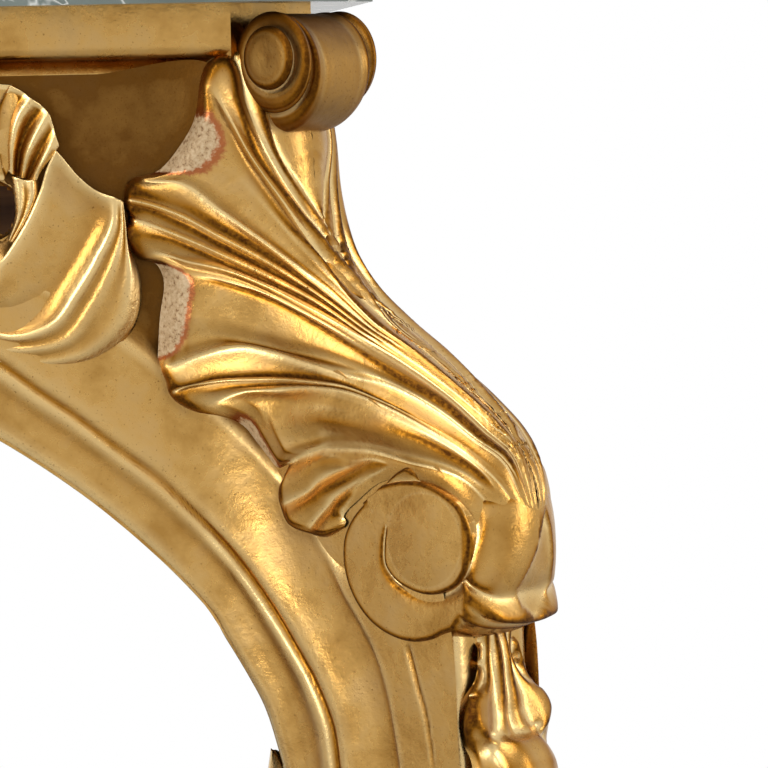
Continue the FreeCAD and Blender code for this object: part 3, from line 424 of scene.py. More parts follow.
def copies(name, sides, points, flipped, node=None, worn=None, grime_and_shade=None, plain=None):
    """A carving on the near (inner, front) or far (outer, side) side of the right leg, and the same on the left.

    In the name and the node, {side}, {face} and {place} stand for those words.
    """
    for place in PLACES:
        for side in sides:
            far, left = side == "outer", place == "left"
            placed = across_leg(points) if far else points
            placed = to_left(placed) if left else placed
            words = {"side": side, "face": FACES[side], "place": place}
            nodes = [node.format(**words)] if node else []
            gilded(name.format(**words), [(placed, flipped ^ far ^ left, False)], nodes, [worn], [grime_and_shade], plain)


def on_both_legs(name, parts, node=None, grime_and_shade=None):
    """A piece of the right leg, and its mirror image on the left; {place} stands for right or left."""
    for place in PLACES:
        left = place == "left"
        placed = [(to_left(points) if left else points, flipped ^ left, wraps) for points, flipped, wraps in parts]
        gilded(name.format(place=place), placed, [node.format(place=place)] if node else [], grime_and_shade=grime_and_shade)


print("bends count fully from", HOLLOW_BEND, "per mm")

# %% [markdown]
# ## The knee leaf
#
# The leaf starts as ragged lobes on the web and gathers into flutes that run together at the volute. A carver
# draws its ridges and hollows first, and so does this cell: each line runs from the leaf's edge towards the
# knee, with pixels of the photograph as its points and heights over the wood in millimetres. Past the lobes
# only the main lines go on; the others fade between them. The skin is round on ridges and sharp in hollows.

# %% Draw the leaf's lines
HOLLOW, RIDGE = True, False
# Each line: kind, heights at its rim and middle, points; the first is on the leaf's outer edge, the second its rim
LEAF_HEADS = [
    (HOLLOW, (1.0, -1.0), [(344, 530), (347, 524)]),
    (RIDGE, (4.5, 4.0), [(326, 539), (328, 531), (338, 514)]),
    (HOLLOW, (2.0, 1.0), [(309, 536), (312, 529), (328, 508)]),
    (RIDGE, (5.5, 4.5), [(290, 528), (296, 519), (316, 502)]),
    (HOLLOW, (2.5, 1.0), [(279, 508), (286, 504), (306, 494)]),
    (RIDGE, (5.5, 4.0), [(279, 490), (287, 486), (308, 473)]),
    (HOLLOW, (1.0, -0.8), [(286, 468), (294, 462), (318, 451)]),
    (RIDGE, (6.0, 4.5), [(274, 470), (291, 449), (318, 439)]),
    (RIDGE, (7.0, 6.5), [(256, 446), (281, 428), (310, 421)]),
    (RIDGE, (6.5, 5.0), [(238, 424), (262, 407), (300, 404)]),
    (HOLLOW, (2.0, -0.5), [(203, 417), (209, 408), (240, 393), (280, 390), (320, 388)]),
    (RIDGE, (6.5, 3.0), [(180, 407), (185, 399), (220, 389), (260, 385), (310, 385)]),
    (HOLLOW, (4.0, 1.5), [(168, 396), (175, 391), (210, 382), (260, 379), (310, 381)]),
    (RIDGE, (6.5, 4.5), [(164, 381), (172, 383), (220, 374), (280, 372)]),
    (HOLLOW, (2.0, -0.8), [(158, 368), (172, 366), (200, 356), (245, 347), (280, 354), (320, 367)]),
    (RIDGE, (6.0, 4.5), [(158, 357), (188, 343), (215, 337), (250, 341), (290, 350)]),
    (RIDGE, (7.5, 7.0), [(160, 318), (193, 315), (220, 316), (255, 325), (290, 336)]),
    (RIDGE, (8.0, 7.5), [(164, 284), (196, 286), (220, 286), (240, 291), (290, 311), (316, 327)]),
    (RIDGE, (6.0, 3.5), [(156, 264), (188, 271), (215, 276), (250, 286), (300, 311)]),
    (HOLLOW, (2.5, 0.0), [(138, 258), (150, 254), (190, 262), (230, 271), (262, 284), (310, 309)]),
    (RIDGE, (7.0, 5.0), [(123, 236), (131, 236), (160, 239), (200, 252), (260, 278), (310, 304)]),
    (HOLLOW, (3.5, 1.0), [(128, 219), (137, 221), (180, 236), (220, 253), (262, 273), (310, 299)]),
    (RIDGE, (7.0, 4.5), [(125, 208), (131, 208), (180, 224), (220, 243), (262, 266), (312, 296)]),
    (HOLLOW, (3.5, 1.5), [(124, 199), (130, 200), (180, 215), (220, 236), (262, 259), (314, 293)]),
    (RIDGE, (7.0, 4.2), [(126, 186), (133, 189), (180, 202), (225, 228), (262, 251), (318, 292)]),
    (HOLLOW, (2.5, -0.2), [(134, 178), (142, 180), (180, 183), (222, 212), (262, 241), (324, 291)]),
    (RIDGE, (5.0, 3.0), [(158, 171), (186, 172), (210, 182), (235, 205), (283, 249), (332, 291)]),
    (RIDGE, (6.0, 4.0), [(178, 148), (200, 152), (222, 165), (252, 197), (292, 243), (338, 291)]),
    (RIDGE, (7.0, 5.0), [(194, 118), (208, 122), (226, 138), (250, 175), (289, 229), (314, 256), (348, 299)]),
    (HOLLOW, (3.0, -1.5), [(200, 82), (209, 88), (228, 116), (248, 152), (283, 203), (314, 249), (352, 292)]),
    (RIDGE, (6.0, 4.0), [(208, 62), (218, 64), (236, 103), (256, 154), (287, 200), (321, 243), (358, 285)]),
    (HOLLOW, (1.0, -1.5), [(228, 50), (235, 62), (247, 106), (268, 153), (293, 197), (324, 238), (361, 284)]),
    (RIDGE, (4.0, 1.5), [(240, 44), (248, 58), (258, 100), (274, 150), (299, 194), (328, 235), (364, 283)]),
    (HOLLOW, (0.0, -2.8), [(252, 40), (260, 60), (270, 108), (282, 150), (305, 193), (333, 236), (368, 284)]),
]
# The main lines' way to the knee's end: pixels and heights at six places, by the number of their head
LEAF_TAILS = {
    0: [(358, 501, -1.5), (380, 483, -2.0), (407, 478, -2.2), (440, 489, -2.2), (458, 503, -1.8), (471, 527, 0.3)],
    3: [(345, 481, 3.5), (376, 466, 2.5), (409, 468, 0.2), (441, 479, 1.4), (466, 494, 1.2), (489, 520, 0.3)],
    6: [(340, 449, -1.2), (375, 451, -1.6), (411, 462, -1.6), (446, 471, -1.3), (472, 486, -0.8), (499, 517, 0.3)],
    8: [(340, 421, 6.0), (376, 428, 5.2), (416, 440, 4.2), (452, 457, 3.6), (481, 477, 2.6), (510, 514, 0.3)],
    10: [(345, 392, -0.8), (383, 406, -1.0), (424, 428, -1.0), (462, 452, -1.0), (493, 478, -1.0), (519, 509, 0.3)],
    13: [(348, 384, 2.2), (387, 401, 1.8), (429, 423, 1.4), (467, 446, 1.1), (498, 472, 0.4), (522, 508, 0.3)],
    14: [(352, 377, -1.8), (393, 389, -1.8), (434, 412, -1.8), (473, 441, -2.0), (504, 465, -2.0), (525, 507, 0.3)],
    17: [(358, 353, 4.6), (400, 379, 4.4), (442, 405, 3.8), (480, 438, 3.3), (509, 463, 2.8), (530, 508, 0.3)],
    19: [(363, 340, -0.8), (406, 366, -1.4), (450, 398, -1.6), (486, 431, -1.6), (513, 457, -1.4), (532, 508, 0.3)],
    28: [(376, 326, 3.8), (416, 356, 3.6), (459, 391, 3.0), (493, 422, 2.4), (517, 452, 1.4), (534, 509, 0.3)],
    29: [(386, 323, -1.2), (427, 355, -1.2), (467, 390, -1.2), (499, 421, -1.0), (522, 453, -0.6), (536, 510, 0.3)],
    34: [(394, 321, 1.0), (435, 355, 1.2), (475, 394, 1.2), (505, 428, 0.8), (528, 466, 0.3), (538, 510, 0.3)],
}
MIDDLE_HEIGHTS = (1.0, 0.8)        # the knee's middle ridge, at the curl and halfway
EDGE_HEIGHT = -3.0                 # the leaf's outer edge sinks this far into the wood
LEAST_HEIGHT, SHALLOW_SHARE = 0.3, 0.27  # how shallow hollows stay: at least, and of the height over the edge
RIM_SLOPE_SHARE, TAIL_HEIGHT_SHARE = 0.7, 0.6  # of the rim's height before it, and of the middle's at the tail
LINE_POINTS = 190
STEPS_BETWEEN = 7
TAIL_START, TAIL_PLACES = 0.5, 6   # share of each line's points at which its tail begins, and its places
MINOR_FADE = (0.42, 0.62)          # where the minor lines fade into the main ones
LAST_LINE = len(LEAF_HEADS)


def head_of(number):
    """Kind, heights and pixels of a line's head; the last is the knee's middle ridge, on the wood itself."""
    if number < LAST_LINE:
        return LEAF_HEADS[number]
    dense = smooth_line(KNEE_LINE, 300)
    seen = seen_at(leg_point(dense[:, 0], dense[:, 1], 0.0))
    seen = seen[seen[:, 0] < LEAF_TAILS[LAST_LINE][0][0] - 8]
    seen = seen[: np.argmax(seen[:, 1]) + 1]
    return RIDGE, MIDDLE_HEIGHTS, smooth_line(seen, 9).tolist()


def tail_of(number):
    """The six places of a line's tail: a main line's own, or between those of the main lines beside it."""
    mains = sorted(LEAF_TAILS)
    tails = np.array([LEAF_TAILS[main] for main in mains], float)
    return np.stack([[np.interp(number, mains, tails[:, k, axis]) for axis in range(3)] for k in range(TAIL_PLACES)])


def leaf_line(number):
    """A line's pixels and heights at even steps of its share, the head by its length and the tail by its places."""
    kind, (rim, middle), head = head_of(number)
    head, tail = np.array(head, float), tail_of(number)
    steps = np.linalg.norm(np.diff(np.vstack([head, tail[:1, :2]]), axis=0), axis=1)
    lengths = np.concatenate([[0], np.cumsum(steps)])
    tail_knots = np.linspace(TAIL_START, 1, TAIL_PLACES)
    knots = np.concatenate([lengths[:-1] / lengths[-1] * TAIL_START, tail_knots])
    share = np.linspace(0, 1, LINE_POINTS)
    places = hermite(knots, np.vstack([head, tail[:, :2]]), share)
    at_rim = knots[1]
    height_knots = [0.0, at_rim / 2, at_rim, max(0.3, at_rim + 0.1), *tail_knots]
    start = tail[0, 2] if number in LEAF_TAILS else middle * TAIL_HEIGHT_SHARE
    heights = [EDGE_HEIGHT, rim * RIM_SLOPE_SHARE, rim, middle, start, *tail[1:, 2]]
    if number == LAST_LINE:
        heights[:4] = [rim, rim, rim, middle]
    return kind, places, np.interp(share, height_knots, heights)


def heights_between(heights, kinds, knots, at):
    """Heights at rows between lines: round next to a ridge, sharp next to a hollow."""
    knots = np.array(knots)
    i = np.clip(np.searchsorted(knots, at, side="right") - 1, 0, len(knots) - 2)
    w = (at - knots[i]) / (knots[i + 1] - knots[i])
    kinds = np.array(kinds)[knots]
    from_hollow = np.sin(w * math.pi / 2)
    to_hollow = 1 - np.sin((1 - w) * math.pi / 2)
    smooth = w * w * (3 - 2 * w)
    rises, falls = kinds[i] & ~kinds[i + 1], ~kinds[i] & kinds[i + 1]
    share = np.where(rises, from_hollow, np.where(falls, to_hollow, smooth))
    start, end = heights[knots[i]], heights[knots[i + 1]]
    return start + (end - start) * share[:, None]


def smooth_step(value, low, high):
    """0 below low, 1 above high, and 3 w^2 - 2 w^3 between."""
    w = np.clip((value - low) / (high - low), 0, 1)
    return w * w * (3 - 2 * w)


leaf_lines = [leaf_line(number) for number in range(LAST_LINE + 1)]
leaf_kinds, leaf_places, leaf_heights = map(np.array, zip(*leaf_lines))
at = np.linspace(0, LAST_LINE, LAST_LINE * STEPS_BETWEEN + 1)
leaf_pixels = hermite(np.arange(LAST_LINE + 1.0), leaf_places, at)
fade = smooth_step(np.linspace(0, 1, LINE_POINTS), *MINOR_FADE)
leaf_rise = (
    heights_between(leaf_heights, leaf_kinds, range(LAST_LINE + 1), at) * (1 - fade)
    + heights_between(leaf_heights, leaf_kinds, sorted(LEAF_TAILS), at) * fade
)
# Away from its edge and its end the leaf's hollows stay over the wood
share = np.linspace(0, 1, LINE_POINTS)
inner = smooth_step(share, 0.03, 0.08) * (1 - smooth_step(share, 0.9, 1.0))
shallow = LEAST_HEIGHT + (leaf_rise - EDGE_HEIGHT) * SHALLOW_SHARE
leaf_rise = leaf_rise + np.maximum(shallow - leaf_rise, 0) * inner
leaf_base, leaf_normal = on_body(leaf_pixels)
leaf_points = leaf_base + leaf_normal * leaf_rise[..., None]
print("leaf grid", leaf_points.shape, "lowest", round(float(leaf_points[..., 2].min()), 1))

# %% Carve the leaf on both knees
WORN_LINES = [(7, 9), (15, 18), (26, 28)]   # lines whose rim stands back from a worn, scooped edge


def worn_rims():
    """A mark of 1 on the slope between outer edge and rim of the worn lines, fading in the next columns."""
    across = np.zeros(len(at))
    for first, last in WORN_LINES:
        across = np.maximum(across, np.clip(np.minimum(at - first + 0.6, last + 0.6 - at), 0, 1))
    along = np.clip(1.6 - np.arange(LINE_POINTS) / (0.06 * LINE_POINTS), 0, 1)
    return across[:, None] * along[None, :]


leaf_worn = worn_rims()
leaf_end = np.broadcast_to(smooth_step(share, 0.9, 0.985), leaf_rise.shape)
copies("carved_knee_leaf_{side}_{place}", FACES, leaf_points, False, "knee_leaf_{side}_{place}", leaf_worn,
       plain=leaf_end)
print("pieces so far:", len(PIECES))

# %% [markdown]
# ## The volute at the knee
#
# The knee ends in a volute: a flat disc, the eye, from which a band unwinds, round below it and up on the
# left. It is turned here as a polar grid round the eye's middle in the leg's side plane. One spiral, drawn on
# the picture, does two things: its first turn is the line that cuts the eye from the band, and its second
# turn is the band's outer edge. On the right the knee's own outer line takes over.

# %% Lay the spiral on the leg's side
VOLUTE_SIDE = 35.5                 # the flat of eye and band, out from the leg's middle plane
EYE_CENTRE = np.array([126.0, 591.0])
SPIRAL_PIXELS = np.array([
    (387, 519), (386, 525), (383, 545), (384, 565), (393, 580), (407, 590), (425, 596), (442, 594), (456, 586),
    (465, 571), (468.5, 550), (467, 527), (459, 508), (444, 494), (425, 484), (403, 481), (385, 484), (370, 491),
    (357, 503), (345, 520), (339, 537), (338, 557), (342, 582), (351, 604), (366, 625), (386, 640), (411, 648),
    (440, 646), (470, 638), (500, 629),
])


def on_side(pixels, across):
    """Out and height of the places where rays cross the plane that lies so far across the leg."""
    toward = rays(np.asarray(pixels, float))
    share = (across - (EYE - MIDDLE) @ NEAR) / (toward @ NEAR)
    points = EYE + toward * share[:, None]
    return np.stack([(points - MIDDLE) @ OUT, points[:, 2]], axis=-1)


spiral = smooth_line(on_side(SPIRAL_PIXELS, VOLUTE_SIDE), 600)
turn = np.unwrap(np.arctan2(spiral[:, 1] - EYE_CENTRE[1], spiral[:, 0] - EYE_CENTRE[0]))
turn = turn - 2 * np.pi if turn[0] > np.pi else turn
radius_on = np.linalg.norm(spiral - EYE_CENTRE, axis=1)
print("the spiral turns from", np.round(np.degrees(turn[[0, -1]])), "with radii", np.round(radius_on[[0, -1]], 1))

# %% Shape the volute's side
VOLUTE_ROWS, EYE_COLUMNS, BAND_COLUMNS = ((340, 48, 66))
EYE_DOME = 1.1                     # the eye's swell over the flat
LINE_DEPTH = 2.8                   # depth of the cut round the eye
LINE_EDGE = 0.7                    # how fast the eye's edge falls into it
BAND_ROUND = 4.0                   # rounding of the band's outer edge
UNDER_LEAF = 5.0                   # how far the volute's skin sinks where the leaf covers it
EYE_REACH = 24                     # where the eye's swell ends
FRONT_DEGREES = (-110, 70, 75, 110)  # round the eye: where the knee's front starts, is full, fades and ends
NARROW_HEIGHTS = (575, 610)        # between these the front narrows to the leg's own width
LEAF_HEIGHTS = (611, 617)          # between these the leaf takes over
HOLLOW_WIDTHS = (0.9, 2.6)         # the cut's hollow side: its width at the start, and what it gains
LEAST_BAND = 3.0                   # narrowest band between the line round the eye and the outer edge
LIP_REACH, LIP_SPARE = 186.0, 4.0  # out plus across: where the lip starts to yield, and what it still gains


def polar(points):
    """Angle and radius round the eye's middle."""
    away = points - EYE_CENTRE
    return np.arctan2(away[..., 1], away[..., 0]), np.linalg.norm(away, axis=-1)


def volute_outline(angles):
    """The volute's outer radius: the spiral's second turn, the knee's outer line, and the leaf's root above."""
    second = spiral[turn > turn[0] + np.radians(345)]
    knee = smooth_line(KNEE_LINE, 400)
    knee = knee[(knee[:, 1] < 625) & (knee[:, 0] > 133)]
    above = EYE_CENTRE + np.array([(31.0, 44.0), (10.0, 46.0), (-10.0, 40.0)])
    edge = np.concatenate([second, knee, above])
    angle, radius = polar(edge)
    order = np.argsort(angle)
    return np.interp(angles, angle[order], radius[order], period=2 * np.pi)


def smooth_ring(values, rounds):
    """Values round a ring, each round mixed half and half with the mean of both neighbours."""
    for _ in range(rounds):
        values = (values + (np.roll(values, 1) + np.roll(values, -1)) / 2) / 2
    return values


def volute_side():
    """Out, height and across of the volute's near half: columns from the eye's middle to its outer line.

    The columns crowd together at the line round the eye and at the outer edge.
    """
    angles = np.linspace(0, 2 * np.pi, VOLUTE_ROWS, endpoint=False) - np.pi
    outer = smooth_ring(volute_outline(angles), 10)
    first = turn < turn[0] + 2 * np.pi
    line_radius = np.interp(angles, turn[first] - 2 * np.pi * (turn[0] > np.pi), radius_on[first], period=2 * np.pi)
    follow = np.minimum(smooth_ring(line_radius, 40), outer - LEAST_BAND)[:, None]
    to_line = 1 - (1 - np.linspace(0, 1, EYE_COLUMNS, endpoint=False)) ** 1.5
    past_line = smooth_step(np.linspace(0, 1, BAND_COLUMNS), 0, 1)
    radius = np.hstack([follow * to_line, follow + (outer[:, None] - follow) * past_line])
    place = EYE_CENTRE + radius[..., None] * np.stack([np.cos(angles), np.sin(angles)], -1)[:, None]
    steep = np.abs(np.gradient(outer, angles[1] - angles[0])) / outer
    inside = (outer[:, None] - radius) / np.sqrt(1 + steep**2)[:, None]
    s, z = place[..., 0], place[..., 1]
    # Towards the right the side rounds over more and more to the knee's front, elsewhere only by a little
    degrees = np.degrees(angles)
    front = smooth_step(degrees, *FRONT_DEGREES[:2]) * (1 - smooth_step(degrees, *FRONT_DEGREES[2:]))
    depth = (BAND_ROUND + (KNEE_ROUND - BAND_ROUND) * front)[:, None]
    height_share = smooth_step(z, *NARROW_HEIGHTS) * front[:, None]
    half = VOLUTE_SIDE + (HALF - VOLUTE_SIDE) * height_share
    flat = half * np.sqrt(np.maximum(1 - np.maximum(1 - inside / depth, 0) ** 2, 0))
    # The cut round the eye: sharp on the eye's side, a hollow of growing width on the other
    line = spiral[first][::2]
    toward = np.gradient(line, axis=0)
    away = place[:, :, None] - line
    square = (away**2).sum(-1)
    nearest = square.argmin(-1)
    along = nearest / nearest.max()
    step = np.take_along_axis(away, nearest[..., None, None], 2)[:, :, 0]
    heading = toward[nearest] / np.linalg.norm(toward[nearest], axis=-1, keepdims=True)
    beside = np.abs(step[..., 0] * heading[..., 1] - step[..., 1] * heading[..., 0])
    gap = np.where((nearest > 0) & (nearest < len(line) - 1), beside, np.sqrt(square.min(-1)))
    is_eye = radius < line_radius[:, None]
    width = HOLLOW_WIDTHS[0] + HOLLOW_WIDTHS[1] * smooth_step(along, 0.12, 0.40)
    cut = LINE_DEPTH * smooth_step(along, 0.0, 0.35) * (1 - 0.35 * smooth_step(along, 0.55, 0.8))
    cut = cut + 0.9 * smooth_step(along, 0.01, 0.05) * (1 - smooth_step(along, 0.25, 0.35))
    cut = cut * (1 - smooth_step(along, 0.94, 1.0))
    dome = EYE_DOME * np.maximum(1 - (radius / EYE_REACH) ** 2, 0)
    eye = VOLUTE_SIDE + dome - cut * np.exp(-(gap / LINE_EDGE) ** 2)
    band = flat - cut * (0.55 * np.exp(-(gap / width) ** 2) + 0.45 * np.exp(-(gap / width / 2.5) ** 2))
    t = np.where(is_eye, np.minimum(eye, np.maximum(flat + 3, eye * (inside > 3))), band)
    t = np.minimum(t, VOLUTE_SIDE + EYE_DOME)
    # Under the leaf the skin sinks out of sight
    covered = smooth_step(z, *LEAF_HEIGHTS) * front[:, None] * smooth_step(radius - line_radius[:, None], 3.0, 6.0)
    t = np.maximum(t - UNDER_LEAF * covered, 0) * (inside > 1e-6)
    # The lip keeps behind the front and the side of the whole table
    past = np.maximum(s + t - LIP_REACH, 0)
    return s, z, t - past + LIP_SPARE * (1 - np.exp(-past / LIP_SPARE))


volute_s, volute_z, volute_t = volute_side()
print("volute across", round(float(volute_t.max()), 2), "lowest", round(float(volute_z.min()), 1))

# %% A small tongue of leaf on the knee's front
TONGUE_HEIGHT = 3.2
# Height, place across the leg and half width of the tongue, from its tip down; it lies towards the far side
TONGUE = np.array([(604.0, -7.0, 0.5), (596.0, -7.0, 4.5), (586.0, -7.0, 7.5), (576.0, -6.0, 11.0),
                   (566.0, -5.0, 14.5), (557.0, -4.0, 11.0), (550.0, -3.0, 2.0)])
TONGUE_PITS = np.array([(167.5, 588.0, 1.5), (157.0, 563.0, 14.0)])
PIT_RADIUS, PIT_DEPTH = 2.6, 3.0


def with_tongue(points, s, z, t, normals):
    """Lifts the skin along its normals inside the tongue's outline, and drills a pit on each side of it."""
    rows = TONGUE[::-1]
    middle = np.interp(z, rows[:, 0], rows[:, 1])
    half = np.interp(z, rows[:, 0], rows[:, 2], left=0.01, right=0.01)
    across = np.clip(1 - np.abs(t - middle) / half, 0, 1)
    front = smooth_step(s, 138, 152)
    lift = TONGUE_HEIGHT * np.sqrt(across) * (1 - 0.3 * across) * front
    place = np.stack([s, z, t], axis=-1)
    for pit in TONGUE_PITS:
        lift = lift - PIT_DEPTH * np.exp(-(np.linalg.norm(place - pit, axis=-1) / PIT_RADIUS) ** 2)
    return points + normals * lift[..., None]


def volute_half(side):
    """One half as points, near for side 1 and far for -1, with the tongue across the middle plane."""
    points = leg_point(volute_s, volute_z, volute_t * side)
    normals = grid_normals(points, side < 0, True)
    rim = normals[:, -1]
    normals[:, -1] = rim - (rim @ NEAR)[:, None] * NEAR
    normals[:, -1] /= np.maximum(np.linalg.norm(normals[:, -1], axis=-1, keepdims=True), 1e-9)
    return with_tongue(points, volute_s, volute_z, volute_t * side, normals)


near_half, far_half = volute_half(1), volute_half(-1)
on_both_legs("carved_knee_volute_{place}", [(near_half, False, True), (far_half, True, True)], "knee_scroll_{place}")
print("pieces so far:", len(PIECES))

# %% [markdown]
# ## The rolled curl at the top
#
# Above the knee the strap's end rolls forward into a curl, a drum across the corner whose ends step down in
# two smaller turns to an eye. Turning a profile round an axis makes such a body; here the axis drifts up and
# outwards as the turns shrink, so that the roll reads as a spiral.

# %% Turn the curl
CURL_CENTRE = (18.5, 828.0)
CURL_EYE = (25.0, 836.0)
# Across and radius along the near half of the roll, from the eye's middle to the drum's middle
CURL_PROFILE = np.array([
    (33.6, 0.0), (34.0, 6.0), (33.8, 12.0), (32.8, 15.6), (31.0, 16.6), (29.6, 15.6), (28.8, 14.6), (28.0, 15.6),
    (28.2, 18.5), (28.4, 21.5), (27.6, 24.2), (26.2, 25.6), (24.6, 25.8), (23.2, 25.0), (22.3, 23.8), (21.6, 24.8),
    (21.4, 27.0), (20.2, 29.2), (17.5, 30.4), (13.0, 30.9), (8.0, 31.0), (4.0, 31.0), (0.0, 31.0),
])
CURL_ROWS, CURL_COLUMNS = ((230, 140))
STREAK_DEPTH, STREAK_TURN = 0.28, 2.6  # fine streaks on the middle step, and how fast their wave turns per mm
DRIFT_START, DRIFT_END = 14, 31    # the axis drifts between these distances across
# Painted shade on the curl, which sits under the slab, and more of it towards the curl's top
CURL_SHADE, CURL_TOP_SHADE = 0.38, 0.5


def curl_half(side):
    """Half of the roll: rows round it, columns from its eye to the drum's middle."""
    profile = smooth_line(CURL_PROFILE, CURL_COLUMNS)
    across, radius = profile[:, 0], profile[:, 1].copy()
    second = smooth_step(across, 22.5, 23.5) * (1 - smooth_step(across, 26, 27.5))
    radius += STREAK_DEPTH * second * np.sin(across * STREAK_TURN)
    drift = smooth_step(across, DRIFT_START, DRIFT_END)
    angle = np.linspace(0, 2 * np.pi, CURL_ROWS, endpoint=False)[:, None]
    s = CURL_CENTRE[0] + (CURL_EYE[0] - CURL_CENTRE[0]) * drift + radius * np.cos(angle)
    z = CURL_CENTRE[1] + (CURL_EYE[1] - CURL_CENTRE[1]) * drift + radius * np.sin(angle)
    return leg_point(s, z, np.broadcast_to(across * side, s.shape))


near_curl, far_curl = curl_half(1), curl_half(-1)
heights = near_curl[..., 2]
# Painted shade, heavier towards the top of the curl, under the slab
curl_shade = CURL_SHADE + CURL_TOP_SHADE * smooth_step(heights, heights.mean(), heights.max())
on_both_legs("carved_knee_curl_{place}", [(near_curl, False, True), (far_curl, True, True)],
             "knee_curl_{place}", [curl_shade, curl_shade])
print("pieces so far:", len(PIECES))

# %% [markdown]
# ## Apron, arch moulding and the leg's side
#
# One board face runs from the middle of the apron, round the web and down the leg. Its arch has a hollow
# moulding with a ridge, then a fine groove, then a soft roll. Seen unrolled, the face is flat, with the
# distance along the plan line as one axis and the height as the other. Heights over it depend on how far a
# place lies from the arch, the groove and a third line on the leg, so one height rule carves it all.

# %% Unroll the plan line
WEB_LENGTH = WEB_RADIUS * math.pi / 4


def plan_point(along, z, lift):
    """A place by its distance along the plan line, its height and its lift: front, quarter round, leg's side."""
    along, z, lift = np.broadcast_arrays(along, z, lift)
    turn = np.clip(along / WEB_RADIUS, 0, math.pi / 4)
    before, after = np.minimum(along, 0), np.maximum(along - WEB_LENGTH, 0)
    radius = WEB_RADIUS - lift
    x = WEB_CENTRE[0] + radius * np.sin(turn) + before + after * ROOT
    y = WEB_CENTRE[1] + radius * np.cos(turn) - after * ROOT
    return np.stack([x, y, z], axis=-1)


def unrolled(points):
    """The distance along the plan line, and the height, of places on the side."""
    x = points[..., 0] - WEB_CENTRE[0]
    y = points[..., 1] - WEB_CENTRE[1]
    turn = np.clip(np.arctan2(x, y), 0, math.pi / 4)
    end = plan_point(WEB_LENGTH, 0.0, 0.0)
    after = np.maximum((points - end) @ OUT, 0)
    along = np.where(x < 0, x, WEB_RADIUS * turn + np.where(turn >= math.pi / 4 - 1e-9, after, 0))
    return np.stack([along, points[..., 2]], axis=-1)


def unroll_pixels(pixels):
    """The same for pixels of the picture, also those beyond its left border."""
    return unrolled(on_body(np.asarray(pixels, float), plan_depth)[0])


print("web along", round(WEB_LENGTH, 2), "check", np.round(unroll_pixels([(0, 440), (343, 768)]), 1).tolist())

# %% Name the lines of the apron and the leg
# Along the plan line and height of the arch, from the apron's middle or its back end to the picture's bottom
FRONT_ARCH = [(-433.35, 636.6), (-376.4, 638.4), (-333.2, 650.5), (-293.3, 674.7), (-233.5, 687.7), (-163.2, 676.0)]
SIDE_ARCH = [(-253.3, 605.5), (-223.8, 633.2), (-182.6, 657.4), (-135.4, 661.7)]
CORNER_ARCH = [(-83.9, 640.5), (-43.0, 612.1), (-2.1, 576.1), (18.4, 554.5), (33.0, 532.5), (44.6, 514.2),
               (53.5, 498.7), (64.8, 466.2)]
FRONT_GROOVE = [(-433.35, 683.4), (-376.4, 685.1), (-333.2, 694.6), (-293.3, 714.5), (-233.5, 724.9), (-163.2, 712.8)]
SIDE_GROOVE = [(-253.3, 647.0), (-223.8, 672.1), (-182.6, 692.9), (-135.4, 698.1)]
GROOVE_PIXELS = [(0, 363), (42, 393), (73, 414), (112, 444), (151, 473), (190, 507), (237, 554), (265, 590),
                 (296, 637), (321, 682), (338, 727), (344, 768)]
THIRD_PIXELS = [(318, 545), (332, 573), (344, 598), (360, 626), (374, 654), (386, 693), (394, 735), (399, 768)]
CRACK_PIXELS = [(409, 645), (414, 662), (421, 690), (428, 715), (432, 740), (436, 768)]
# The upper ends of the columns that start at the arch's places
FRONT_TOP = [(along, 829.5) for along, _ in FRONT_ARCH]
SIDE_TOP = [(along, 829.5) for along, _ in SIDE_ARCH]
# At the corner they lie just under the knee leaf and the volute
TOP_PIXELS = [(214, 72), (206, 160), (250, 380), (330, 470), (430, 560)]
CORNER_TOP = [(-72.0, 829.5), (-30.0, 829.5)] + unroll_pixels(TOP_PIXELS).tolist() + [(184.0, 466.2)]
# The opening under the shell: its middle and half size, and how thick the board is seen to be
OPENING, OPENING_HALF, OPENING_WALL = (-103.5, 760.0), (36.0, 20.0), -24.0
SPACING = 1.55
BOARD_HEIGHT, ROW_POWER = 190, 1.15  # for the number of rows, which crowd a little towards the arch
LIP_WIDTH, LIP_DEPTH = 0.5, 2.5    # the skin's lower border past the arch, and how far it turns back
LINE_COUNT, BATCHES = 320, 24      # points of a line that is measured to, and batches of places


def signed_gap(points, line):
    """Distance of each point from a line, positive on its left, and how far along the line, from 0 to 1."""
    line = smooth_line(line, LINE_COUNT)
    along = np.gradient(line, axis=0)
    gaps, shares = [], []
    for rows in np.array_split(points.reshape(-1, 2), BATCHES):
        away = rows[:, None] - line[None]
        square = (away**2).sum(-1)
        nearest = square.argmin(-1)
        step = away[np.arange(len(rows)), nearest]
        heading = along[nearest] / np.linalg.norm(along[nearest], axis=-1, keepdims=True)
        beside = heading[:, 0] * step[:, 1] - heading[:, 1] * step[:, 0]
        past_end = (nearest == 0) | (nearest == len(line) - 1)
        gaps.append(np.where(past_end, np.sign(beside) * np.sqrt(square.min(-1)), beside))
        shares.append(nearest / (len(line) - 1))
    shape = points.shape[:-1]
    return np.concatenate(gaps).reshape(shape), np.concatenate(shares).reshape(shape)


def profile(value, knots, heights):
    """A smooth curve through heights at knots, held beyond its ends."""
    clipped = np.clip(value, knots[0], knots[-1])
    return hermite(np.array(knots, float), np.array(heights, float), clipped.ravel()).reshape(clipped.shape)


# %% Carve one face
# Between arch (0) and groove (1): edge, hollow, ridge
BAND = ([0.0, 0.05, 0.12, 0.22, 0.45, 0.66, 0.84, 0.93, 1.0], [1.2, 3.4, 4.5, 4.7, 3.8, 3.9, 6.2, 5.8, 3.3])
